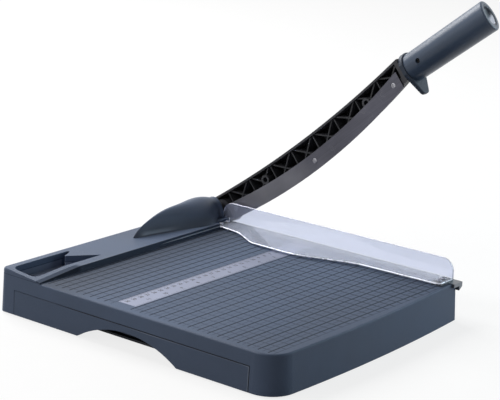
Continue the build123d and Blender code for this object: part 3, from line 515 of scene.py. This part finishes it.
def clearPlastic(cfg):
    mat, tree, shader = newMaterial("clearPlastic")
    place = objectPlace(tree)
    cloud = noise(tree, place, cfg["cloudScale"], 3.0)
    rubbed = useGroup(tree, hairlineGroup, Scale=cfg["hairScale"])["Mask"]
    foot = ramp(tree, millimetres(tree)[2], *cfg["footTop"], 1.0, 0.0)
    wallColour = toned(tree, cfg["colour"], cloud, cfg["mottle"])
    footColour = toned(tree, cfg["footColour"], cloud, cfg["mottle"])
    colour = mixColour(tree, foot, wallColour, footColour)
    tree.links.new(colour, shader.inputs["Base Color"])
    rough = ramp(tree, cloud, 0.3, 0.7, *cfg["rough"])
    rough = calc(tree, "MULTIPLY_ADD", rubbed, cfg["hairRough"], rough)
    tree.links.new(rough, shader.inputs["Roughness"])
    shader.inputs["Transmission Weight"].default_value = cfg["transmission"]
    shader.inputs["IOR"].default_value = cfg["ior"]
    bumpTo(tree, shader, noise(tree, place, cfg["cloudScale"], 0.0), cfg["bump"], cfg["bumpDepth"])
    return mat


finishes["clear_plastic"] = clearPlastic(clearSheet)

# every CAD node takes the finish of its slot in the record
slotOf = {entry["node"]: entry["material_slot"] for entry in frame["record"]["subparts"]}
for name, obj in nodes.items():
    obj.data.materials.clear()
    obj.data.materials.append(finishes[slotOf[name]])

# hood: the base's plastic, smoother, with a dark line where it meets the rail, painted shade; finger plate:
# darker, duller
hoodShell = {
    **slate, "colour": (0.070, 0.096, 0.152), "rough": (0.36, 0.46), "specular": 0.25,
    # painted shade: foot is a dark line at the rail, low darkens the hood towards the rail
    "foot": (50.1, 50.45, 0.85), "footColour": (0.006, 0.007, 0.010),
    "low": (51.0, 66.0, 0.50), "flare": (50.6, 52.0, 56.5),
    # painted highlight: flare is a paler band on the turned-up foot
    "flareEnds": (2.0, 12.0, 28.0, 62.0), "flareShare": 0.6, "flarePaintedHighlight": (0.30, 0.35, 0.43),
}
fingerPlate = {**slate, "colour": (0.030, 0.042, 0.066), "rough": (0.40, 0.50), "specular": 0.25}


def hoodPlastic(cfg):
    mat = plasticFinish("hoodPlastic", cfg)
    tree, shader, plain = reopened(mat)
    x, _, z = millimetres(tree)
    # painted shade, deeper towards the rail
    plain = mixColour(tree, 1.0, plain, grey(tree, ramp(tree, z, *cfg["low"], 1.0)), "MULTIPLY")
    # painted highlight on the turned-up foot: a band by height, faded by place along the hood
    low, middle, high = cfg["flare"]
    band = calc(tree, "MULTIPLY", ramp(tree, z, low, middle), ramp(tree, z, middle, high, 1.0, 0.0))
    a, b, c, d = cfg["flareEnds"]
    along = calc(tree, "MULTIPLY", ramp(tree, x, a, b), ramp(tree, x, c, d, 1.0, 0.0))
    band = calc(tree, "MULTIPLY", calc(tree, "MULTIPLY", band, along), cfg["flareShare"])
    plain = mixColour(tree, band, plain, (*cfg["flarePaintedHighlight"], 1))
    # painted shade: a dark line at the foot where the hood meets the rail
    foot = ramp(tree, z, *cfg["foot"], 0.0)
    put(tree, shader.inputs["Base Color"], mixColour(tree, foot, plain, (*cfg["footColour"], 1)))
    return mat


pivotSteel = steelFinish("pivotSteel", {**bareSteel, "colour": (0.035, 0.035, 0.038), "turn": (0, 0, 0)})
for name in ("pivot_bracket", "pivot_bolt", "pivot_washer", "pivot_spacer", "disc_springs", "pivot_nut"):
    nodes[name].data.materials[0] = pivotSteel
nodes["pivot_hood"].data.materials[0] = hoodPlastic(hoodShell)
nodes["finger_guard"].data.materials[0] = plasticFinish("fingerPlastic", fingerPlate)
print("finishes set on", len(nodes), "nodes")


# surface pieces
def gridFaces(rows, cols, closed):
    # quads between neighbouring rows of a grid; closed joins the last column to the first
    r, c = np.meshgrid(np.arange(rows - 1), np.arange(cols if closed else cols - 1), indexing="ij")
    n = (c + 1) % cols
    return np.stack([r * cols + c, r * cols + n, (r + 1) * cols + n, (r + 1) * cols + c], -1).reshape(-1, 4)


def meshPiece(name, points, faces, finish, body, smooth=False):
    mesh = bpy.data.meshes.new(name)
    mesh.from_pydata(np.asarray(points, float).tolist(), [], [list(map(int, f)) for f in faces])
    mesh.polygons.foreach_set("use_smooth", np.full(len(mesh.polygons), smooth))
    mesh.materials.append(finish)
    mesh.update()
    piece = bpy.data.objects.new(name, mesh)
    scene.collection.objects.link(piece)
    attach(piece, body)
    return piece


recessEdge = {"outside": 0.06, "width": 0.16}  # the recess wall slopes, starting outside the plus sign
recessRoll = {"first": 20, "step": 47}  # degrees, so that no two recesses stand alike


# cross-head screw: rings from the middle of the head out to its rim, down the head and shank to the tip;
# the top sinks by the recess depth wherever a point lies inside either bar of a plus sign
def crossScrew(cfg, at, outward, roll):
    angles = np.linspace(0, 2 * np.pi, cfg["steps"], endpoint=False)
    share = np.linspace(0.02, 1, cfg["rings"])
    topR = share * cfg["rim"]
    r, a = np.meshgrid(topR, angles, indexing="ij")
    u, v = np.abs(r * np.cos(a)), np.abs(r * np.sin(a))
    arm, half = cfg["recessReach"], cfg["recessHalf"]
    inside = np.maximum(np.minimum(arm - u, half - v), np.minimum(arm - v, half - u))
    sink = np.clip((inside + recessEdge["outside"]) / recessEdge["width"], 0, 1) * cfg["recessDepth"]
    crown = cfg["crown"] * (1 - (r / cfg["rim"]) ** 2) - sink
    rings = [np.stack([r * np.cos(a), r * np.sin(a), crown], -1)]
    for radius, height in cfg["profile"]:
        level = np.full(angles.shape, height)
        rings.append(np.stack([radius * np.cos(angles), radius * np.sin(angles), level], -1)[None])
    points = np.concatenate(rings)
    rows = points.shape[0]
    flat = points.reshape(-1, 3)
    caps = np.array([[0, 0, cfg["crown"] - cfg["recessDepth"]], [0, 0, cfg["profile"][-1][1]]])
    faces = gridFaces(rows, cfg["steps"], True)[:, ::-1].tolist()
    first = np.arange(cfg["steps"])
    nxt = (first + 1) % cfg["steps"]
    last = (rows - 1) * cfg["steps"]
    top = np.stack([first, nxt, np.full(first.shape, len(flat))], -1)[:, [2, 0, 1]]
    tip = np.stack([last + nxt, last + first, np.full(first.shape, len(flat) + 1)], -1)
    z = np.array(outward, float)
    x = np.cross((0.0, 0.0, 1.0), z) if abs(z[2]) < 0.9 else np.array([1.0, 0.0, 0.0])
    x /= np.linalg.norm(x)
    y = np.cross(z, x)
    turn = math.radians(roll)
    x, y = x * math.cos(turn) + y * math.sin(turn), y * math.cos(turn) - x * math.sin(turn)
    placed = np.concatenate([flat, caps]) @ np.stack([x, y, z]) + np.array(at)
    return placed * mm, faces + top.tolist() + tip.tolist()


def screwSet(name, cfg, finish, body):
    points, faces, start = [], [], 0
    for k, at in enumerate(cfg["places"]):
        p, f = crossScrew(cfg, at, cfg["outward"], recessRoll["first"] + recessRoll["step"] * k)
        points.append(p)
        faces += [[i + start for i in face] for face in f]
        start += len(p)
    return meshPiece(name, np.concatenate(points), faces, finish, body)


bladeScrews = {
    "places": [(144.65, 136.602, 60.029), (144.65, 25.213, 138.28), (144.65, -76.246, 240.321)],
    "outward": (-1, 0, 0), "steps": 64, "rings": 20, "rim": 2.3, "crown": 0.0,
    "recessReach": 1.8, "recessHalf": 0.5, "recessDepth": 0.8,
    "profile": [(2.5, -0.08), (2.75, -0.3), (3.2, -0.85), (3.2, -0.95),
                (1.6, -1.2), (1.6, -8.8), (1.3, -9.0)],
}
guardScrews = {
    "places": [(127.7, 134.71, 49.1), (115.55, 134.71, 49.1),
               (126.09, -166.94, 49.1), (117.95, -166.94, 49.1)],
    "outward": (0, 0, 1), "steps": 64, "rings": 20, "rim": 2.1, "crown": 0.0,
    "recessReach": 1.5, "recessHalf": 0.4, "recessDepth": 0.8,
    "profile": [(2.4, -0.15), (2.6, -0.45), (2.66, -0.8), (2.66, -1.6),
                (1.4, -1.6), (1.4, -6.2), (1.1, -6.5)],
}
gripScrew = {
    "places": [(148.45, -104.902, 271.858)],
    "outward": (-1, 0, 0), "steps": 64, "rings": 20, "rim": 2.6, "crown": 0.0,
    "recessReach": 1.7, "recessHalf": 0.45, "recessDepth": 0.9,
    "profile": [(2.8, -0.3), (2.85, -0.6), (2.85, -3.2), (1.5, -3.2), (1.5, -12.9), (1.2, -13.2)],
}
plateScrews = {
    "places": [(-135.95, -170.79, 2.0), (-20.95, -170.79, 2.0), (-135.95, 179.96, 2.0),
               (-20.95, 179.96, 2.0), (94.05, -167.79, 2.0), (94.05, 179.96, 2.0), (94.05, 1.46, 2.0)],
    "outward": (0, 0, -1), "steps": 48, "rings": 16, "rim": 2.75, "crown": 0.0,
    "recessReach": 1.7, "recessHalf": 0.45, "recessDepth": 0.8,
    "profile": [(1.2, -1.5), (1.2, -13.2), (0.9, -13.5)],
}
screwFinish = {
    "bladeScrewHeads": {**bareSteel, "colour": (0.34, 0.34, 0.37), "turn": (0, 0, 0), "rough": (0.26, 0.4)},
    "guardScrewHeads": {**bareSteel, "colour": (0.25, 0.26, 0.31), "turn": (0, 0, 0), "rough": (0.26, 0.4)},
    "gripScrewHead": {**bareSteel, "colour": (0.030, 0.031, 0.034), "turn": (0, 0, 0), "rough": (0.35, 0.5)},
    "plateScrewHeads": {**bareSteel, "colour": (0.50, 0.51, 0.52), "turn": (0, 0, 0), "rough": (0.22, 0.34)},
}
for name, cfg, node, body in (("bladeScrewHeads", bladeScrews, "blade_screws", "arm"),
                              ("guardScrewHeads", guardScrews, "guard_screws", "base"),
                              ("gripScrewHead", gripScrew, "grip_screw", "arm"),
                              ("plateScrewHeads", plateScrews, "plate_screws", "base")):
    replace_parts(screwSet(name, cfg, steelFinish(name + "Steel", screwFinish[name]), body), node)
print("screws cut with cross recesses")


# dish in the end of the grip: a closed profile of radius and depth turned about the end's axis;
# the painted-highlight attribute is 1 on the rim's bead, and grows from 0 to 1 across the dish towards the
# lit side
gripCup = {
    "centre": (162.652, -180.774, 329.030), "outward": (0.27544, -0.76774, 0.57854), "steps": 72,
    "profile": [(0.0, -5.8), (2.5, -5.7), (5.0, -5.35), (7.0, -4.75), (8.6, -3.9), (9.8, -2.9),
                (10.5, -2.0), (10.9, -1.2), (11.15, -0.6), (11.45, -0.25), (11.8, -0.12), (12.1, -0.3),
                (12.3, -0.7), (12.35, -1.2), (12.35, -6.5), (0.0, -6.5)],
    "beadFrom": 11.1, "beadTo": 11.9, "beadFloor": -1, "beadPaintedHighlight": 0.28, "dishFloor": -6.2,
    "litSide": (0.655, -0.289, -0.697), "litFrom": 2.0, "litTo": 7.5,
    "dull": (0.024, 0.036, 0.062), "bright": (0.46, 0.50, 0.57),
    "grain": 1800.0, "cloud": 60.0, "mottle": 0.2, "rough": (0.25, 0.35), "specular": 0.3,
}


def turnedPiece(cfg):
    profile = np.array(cfg["profile"])
    angles = np.linspace(0, 2 * np.pi, cfg["steps"], endpoint=False)
    z = np.array(cfg["outward"]) / np.linalg.norm(cfg["outward"])
    x = np.cross((0.0, 0.0, 1.0), z)
    x /= np.linalg.norm(x)
    y = np.cross(z, x)
    ring = np.cos(angles)[:, None] * x + np.sin(angles)[:, None] * y
    inner = profile[1:-1]
    points = inner[:, None, :1] * ring + inner[:, None, 1:] * z
    ends = profile[[0, -1], 1][:, None] * z
    steps, rows = cfg["steps"], len(inner)
    first = np.arange(steps)
    nxt = (first + 1) % steps
    top = np.stack([np.full(steps, rows * steps), first, nxt], -1).tolist()
    last = (rows - 1) * steps
    low = np.stack([np.full(steps, rows * steps + 1), last + nxt, last + first], -1).tolist()
    faces = gridFaces(rows, steps, True)[:, ::-1].tolist()
    base = np.array(cfg["centre"])
    return (np.concatenate([points.reshape(-1, 3), ends]) + base) * mm, faces + top + low


def cupPlastic(cfg):
    mat, tree, shader = newMaterial("cupPlastic")
    part = tree.nodes.new("ShaderNodeAttribute")
    part.attribute_name = "paintedHighlight"
    grain = useGroup(tree, grainGroup, Grain=cfg["grain"], Cloud=cfg["cloud"])
    dull = toned(tree, cfg["dull"], grain["Tone"], cfg["mottle"])
    bright = toned(tree, cfg["bright"], grain["Tone"], cfg["mottle"])
    # painted highlight and reflection: the attribute mixes in the bright colour, and metal, on the dish's
    # lit side and the bead
    tree.links.new(mixColour(tree, part.outputs["Fac"], dull, bright), shader.inputs["Base Color"])
    tree.links.new(ramp(tree, grain["Gloss"], 0.35, 0.65, *cfg["rough"]), shader.inputs["Roughness"])
    tree.links.new(ramp(tree, part.outputs["Fac"], 0.4, 1.0), shader.inputs["Metallic"])
    shader.inputs["Specular IOR Level"].default_value = cfg["specular"]
    return mat


def dishShine(points, cfg):
    # painted highlight: on the dish, the distance towards the lit side; on the bead, one value; elsewhere
    # none
    off = points / mm - np.array(cfg["centre"])
    axis = np.array(cfg["outward"]) / np.linalg.norm(cfg["outward"])
    depth = off @ axis
    radius = np.linalg.norm(off - depth[:, None] * axis, axis=1)
    across = off @ np.array(cfg["litSide"])
    share = np.clip((across - cfg["litFrom"]) / (cfg["litTo"] - cfg["litFrom"]), 0, 1)
    dish = (radius < cfg["beadFrom"]) & (depth > cfg["dishFloor"])
    ring = (radius >= cfg["beadFrom"]) & (radius < cfg["beadTo"]) & (depth > cfg["beadFloor"])
    return np.where(dish, share, np.where(ring, cfg["beadPaintedHighlight"], 0.0))


points, faces = turnedPiece(gripCup)
cup = meshPiece("gripEndCup", points, faces, cupPlastic(gripCup), "arm", True)
cup.data.attributes.new("paintedHighlight", "FLOAT", "POINT").data.foreach_set("value", dishShine(points, gripCup))
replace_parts(cup, "end_plug")
print("grip end turned")


# beads: a small circle carried along a path that lies in one plane, closed by a fan at each end
def roundedPath(corners, radii, steps):
    # straight runs joined by an arc at each inner corner; the arc turns from one tangent point to the other
    p, r = np.array(corners, float), np.array(radii, float)[:, None]
    before, at, after = p[:-2], p[1:-1], p[2:]
    u = (before - at) / np.linalg.norm(before - at, axis=1, keepdims=True)
    v = (after - at) / np.linalg.norm(after - at, axis=1, keepdims=True)
    half = np.arccos(np.sum(u * v, axis=1, keepdims=True)) / 2
    middle = u + v
    centre = at + middle / np.linalg.norm(middle, axis=1, keepdims=True) * r / np.sin(half)
    first, last = at + u * r / np.tan(half) - centre, at + v * r / np.tan(half) - centre
    turn = (np.pi - 2 * half)[:, None]
    t = np.linspace(0, 1, steps)[None, :, None]
    swung = np.sin((1 - t) * turn) * first[:, None] + np.sin(t * turn) * last[:, None]
    arcs = swung / np.sin(turn) + centre[:, None]
    return np.concatenate([p[:1], arcs.reshape(-1, p.shape[1]), p[-1:]])


def bead(path, normal, radius, steps=10):
    along = np.gradient(path, axis=0)
    along /= np.linalg.norm(along, axis=1, keepdims=True)
    side = np.cross(along, normal)
    a = np.linspace(0, 2 * np.pi, steps, endpoint=False)[None, :, None]
    points = path[:, None] + radius * (np.cos(a) * side[:, None] + np.sin(a) * np.array(normal, float))
    rows = len(path)
    first = np.arange(steps)
    nxt = (first + 1) % steps
    start = np.stack([np.full(steps, rows * steps), nxt, first], -1)
    final = (rows - 1) * steps
    end = np.stack([np.full(steps, rows * steps + 1), final + first, final + nxt], -1)
    faces = gridFaces(rows, steps, True).tolist() + start.tolist() + end.tolist()
    return np.concatenate([points.reshape(-1, 3), path[[0, -1]]]) * mm, faces


# pale beads on the clear guard's edges, a painted highlight where the sheet's light leaves them:
# the foot's free edge and the wall's outline
guardEdges = {
    "foot": [(136.0, 138.3, 46.6), (109.55, 138.3, 46.6), (109.55, 128.96, 46.6), (105.55, 99.54, 46.6),
             (85.15, 65.28, 46.6), (84.15, 3.0, 46.6), (107.55, -67.06, 46.6), (110.55, -172.84, 46.6),
             (134.0, -172.84, 46.6)],
    "footRounds": [2, 9, 18, 27, 60, 60, 4], "footRadius": 0.62,
    "wall": [(135.45, 147.36, 50.9), (135.45, 147.36, 68.1),
             (135.45, -172.84, 68.1), (135.45, -172.84, 47.6)],
    "wallRounds": [13.9, 13.9], "wallRadius": 0.28,
    "arcSteps": 14, "colour": (0.82, 0.85, 0.95), "rough": (0.22, 0.34), "metallic": 0.5,
    "nickScale": 160.0, "nickTone": 0.16,
}


def polishedEdge(cfg):
    mat, tree, shader = newMaterial("polishedEdge")
    nick = noise(tree, objectPlace(tree), cfg["nickScale"], 3.0)
    tree.links.new(toned(tree, cfg["colour"], nick, cfg["nickTone"]), shader.inputs["Base Color"])
    tree.links.new(ramp(tree, nick, 0.3, 0.7, *cfg["rough"]), shader.inputs["Roughness"])
    shader.inputs["Metallic"].default_value = cfg["metallic"]
    return mat


edgeHighlightFinish = polishedEdge(guardEdges)
path = roundedPath(guardEdges["foot"], guardEdges["footRounds"], guardEdges["arcSteps"])
points, faces = bead(path, (0, 0, 1), guardEdges["footRadius"])
meshPiece("guardFootEdgeHighlight", points, faces, edgeHighlightFinish, "base", True)
path = roundedPath(guardEdges["wall"], guardEdges["wallRounds"], guardEdges["arcSteps"])
points, faces = bead(path, (1, 0, 0), guardEdges["wallRadius"])
meshPiece("guardWallEdgeHighlight", points, faces, edgeHighlightFinish, "base", True)

# bead along the fence, half sunk in its face and painted pale as a highlight; it rises out of the face over
# its first part
fenceBead = {
    "from": (4.0, 131.25, 46.7), "to": (108.6, 131.25, 46.7), "cells": 40, "radius": 0.8,
    "sink": 0.55, "emerge": 50.0,
    # painted highlight: a pale colour on the bead
    "finish": {**slate, "colour": (0.38, 0.42, 0.50), "cloud": 40.0, "mottle": 0.5},
}
path = np.linspace(fenceBead["from"], fenceBead["to"], fenceBead["cells"])
path[:, 1] += fenceBead["sink"] * np.clip(1 - (path[:, 0] - path[0, 0]) / fenceBead["emerge"], 0, 1)
points, faces = bead(path, (0, 0, 1), fenceBead["radius"])
finish = plasticFinish("fenceBeadPaintedHighlight", fenceBead["finish"])
meshPiece("fenceBead", points, faces, finish, "base", True)
print("edges and fence bead laid")

# scale: printed marks and plain numbers, measured from the cutting plane towards the drawer side
scaleMarks = {
    "zero": 144.55, "left": -160.9, "right": 128.2, "near": 11.16, "far": 35.16, "top": 43.65,
    "low": -0.03, "high": 0.03, "margin": 0.35, "inch": 25.4, "inchParts": 16,
    "metricTicks": (16, 306), "inchTicks": (11, 193), "metricNumbers": (2, 31), "inchNumbers": (1, 12),
    "metricLengths": (1.7, 2.4, 3.2), "inchLengths": (1.7, 2.3, 2.9, 3.6), "width": 0.26,
    "numberHeight": 4.3, "fontShare": 1.38, "bold": 0.16, "metricRow": 28.06, "inchRow": 17.91,
}


def markInk(cfg):
    mat, tree, shader = newMaterial("markInk")
    worn = noise(tree, objectPlace(tree), cfg["wornScale"], 3.0)
    tree.links.new(toned(tree, cfg["ink"], worn, cfg["wornTone"]), shader.inputs["Base Color"])
    tree.links.new(ramp(tree, worn, 0.3, 0.7, *cfg["rough"]), shader.inputs["Roughness"])
    return mat


ink = markInk({"ink": (0.03, 0.033, 0.045), "wornScale": 900.0, "wornTone": 0.5, "rough": (0.5, 0.7)})


def markBoxes(x, low, high, cfg):
    # one flat slab per mark: eight corners from x plus or minus half a width, two ends and two heights
    half = cfg["width"] / 2
    sx = np.array([-half, half, half, -half] * 2)
    sy = np.array([0, 0, 1, 1] * 2)
    sz = np.repeat([cfg["low"], cfg["high"]], 4) + cfg["top"]
    px = x[:, None] + sx
    py = low[:, None] + (high - low)[:, None] * sy
    points = np.stack([px, py, np.broadcast_to(sz, px.shape)], -1).reshape(-1, 3)
    box = np.array([[3, 2, 1, 0], [4, 5, 6, 7], [0, 1, 5, 4], [1, 2, 6, 5], [2, 3, 7, 6], [3, 0, 4, 7]])
    faces = (box[None] + 8 * np.arange(len(x))[:, None, None]).reshape(-1, 4)
    return points * mm, faces


def scaleTicks(cfg):
    k = np.arange(*cfg["metricTicks"])
    x = cfg["zero"] - k
    short, middle, full = cfg["metricLengths"]
    length = np.where(k % 10 == 0, full, np.where(k % 5 == 0, middle, short))
    keep = (x > cfg["left"]) & (x < cfg["right"])
    end = cfg["far"] - cfg["margin"]
    metric = (x[keep], end - length[keep], np.full(keep.sum(), end))
    k = np.arange(*cfg["inchTicks"])
    x = cfg["zero"] - k * cfg["inch"] / cfg["inchParts"]
    a, b, c, d = cfg["inchLengths"]
    length = np.where(k % 16 == 0, d, np.where(k % 8 == 0, c, np.where(k % 4 == 0, b, a)))
    keep = (x > cfg["left"]) & (x < cfg["right"])
    end = cfg["near"] + cfg["margin"]
    inch = (x[keep], np.full(keep.sum(), end), end + length[keep])
    return markBoxes(*(np.concatenate(pair) for pair in zip(metric, inch)), cfg)


points, faces = scaleTicks(scaleMarks)
meshPiece("scaleTicks", points, faces, ink, "base")


def numberMesh(text, cfg):
    curve = bpy.data.curves.new("number", "FONT")
    curve.body = text
    curve.size = cfg["numberHeight"] * cfg["fontShare"]
    curve.align_x = "CENTER"
    curve.align_y = "CENTER"
    curve.resolution_u = 3
    curve.extrude = (cfg["high"] - cfg["low"]) / 2
    curve.offset = cfg["bold"]
    holder = bpy.data.objects.new("number", curve)
    scene.collection.objects.link(holder)
    bpy.context.view_layer.update()
    mesh = bpy.data.meshes.new_from_object(holder.evaluated_get(bpy.context.evaluated_depsgraph_get()))
    co = np.zeros(len(mesh.vertices) * 3)
    mesh.vertices.foreach_get("co", co)
    polys = [list(p.vertices) for p in mesh.polygons]
    bpy.data.objects.remove(holder)
    bpy.data.curves.remove(curve)
    bpy.data.meshes.remove(mesh)
    return co.reshape(-1, 3), polys


def scaleNumbers(cfg):
    points, faces, start = [], [], 0
    rows = [(str(n), cfg["zero"] - 10 * n, cfg["metricRow"]) for n in range(*cfg["metricNumbers"])]
    rows += [(str(n), cfg["zero"] - cfg["inch"] * n, cfg["inchRow"]) for n in range(*cfg["inchNumbers"])]
    for text, x, y in rows:
        p, f = numberMesh(text, cfg)
        points.append(p + (x, y, cfg["top"]))
        faces += [[i + start for i in face] for face in f]
        start += len(p)
    return np.concatenate(points) * mm, faces


points, faces = scaleNumbers(scaleMarks)
meshPiece("scaleNumbers", points, faces, ink, "base")
print("scale marked")

# floor: a wide sheet, white to the eye and in reflections, with part of its real shade kept for the shadow
floorSheet = {
    "half": 14.0, "cells": 13, "seenAlbedo": 0.9, "bounceAlbedo": 0.22, "whiteShare": 0.8,
    "fibreScale": 40.0, "fibreTone": 0.02,
}


def makeFloor(cfg):
    side = np.linspace(-cfg["half"], cfg["half"], cfg["cells"])
    x, y = np.meshgrid(side, side, indexing="xy")
    points = np.stack([x, y, np.zeros_like(x)], -1).reshape(-1, 3)
    mesh = bpy.data.meshes.new("floor")
    mesh.from_pydata(points.tolist(), [], gridFaces(cfg["cells"], cfg["cells"], False).tolist())
    floor = bpy.data.objects.new("floor", mesh)
    scene.collection.objects.link(floor)
    mat = bpy.data.materials.new("floorPaper")
    mat.use_nodes = True
    tree = mat.node_tree
    tree.nodes.remove(tree.nodes["Principled BSDF"])
    seen = seenRay(tree)
    paper = tree.nodes.new("ShaderNodeBsdfDiffuse")
    fibre = noise(tree, objectPlace(tree), cfg["fibreScale"], 3.0)
    seenShade = toned(tree, (cfg["seenAlbedo"],) * 3, fibre, cfg["fibreTone"])
    shade = mixColour(tree, seen, (cfg["bounceAlbedo"],) * 3 + (1,), seenShade)
    tree.links.new(shade, paper.inputs["Color"])
    white = tree.nodes.new("ShaderNodeEmission")
    blend = tree.nodes.new("ShaderNodeMixShader")
    tree.links.new(calc(tree, "MULTIPLY", seen, cfg["whiteShare"]), blend.inputs[0])
    tree.links.new(paper.outputs[0], blend.inputs[1])
    tree.links.new(white.outputs[0], blend.inputs[2])
    tree.links.new(blend.outputs[0], tree.nodes["Material Output"].inputs["Surface"])
    mesh.materials.append(mat)


makeFloor(floorSheet)

# light: a dim even room, white where it is seen directly, and three soft panels
roomLight = {"fill": 0.10, "colour": (1.0, 1.0, 1.0)}
panels = {
    "overhead": {"at": (0.25, 1.8, 1.8), "aim": (0, 0, 0), "size": 1.7, "power": 78.0,
                 "colour": (1.0, 0.99, 0.98)},
    "rightSide": {"at": (1.3, -1.0, 0.5), "aim": (0, 0, 0.05), "size": 1.2, "power": 13.5,
                  "colour": (0.78, 1.0, 1.10)},
    "leftSide": {"at": (-2.0, 1.05, 1.25), "aim": (0, 0, 0.05), "size": 1.7, "power": 22.0,
                 "colour": (1.0, 0.99, 0.98)},
}


def makeRoom(cfg):
    world = bpy.data.worlds.new("room")
    scene.world = world
    world.use_nodes = True
    tree = world.node_tree
    back = tree.nodes["Background"]
    seen = seenRay(tree)
    back.inputs["Color"].default_value = (*cfg["colour"], 1)
    tree.links.new(ramp(tree, seen, 0.0, 1.0, cfg["fill"], 1.0), back.inputs["Strength"])


def makePanel(name, cfg):
    lamp = bpy.data.lights.new(name, "AREA")
    lamp.shape = "SQUARE"
    lamp.size = cfg["size"]
    lamp.energy = cfg["power"]
    lamp.color = cfg["colour"]
    holder = bpy.data.objects.new(name, lamp)
    holder.location = cfg["at"]
    holder.visible_camera = False  # other views look past the panels
    aim = Vector(cfg["aim"]) - Vector(cfg["at"])
    holder.rotation_euler = aim.to_track_quat("-Z", "Y").to_euler()
    scene.collection.objects.link(holder)


makeRoom(roomLight)
for name, cfg in panels.items():
    makePanel(name, cfg)
print("stage and light set")
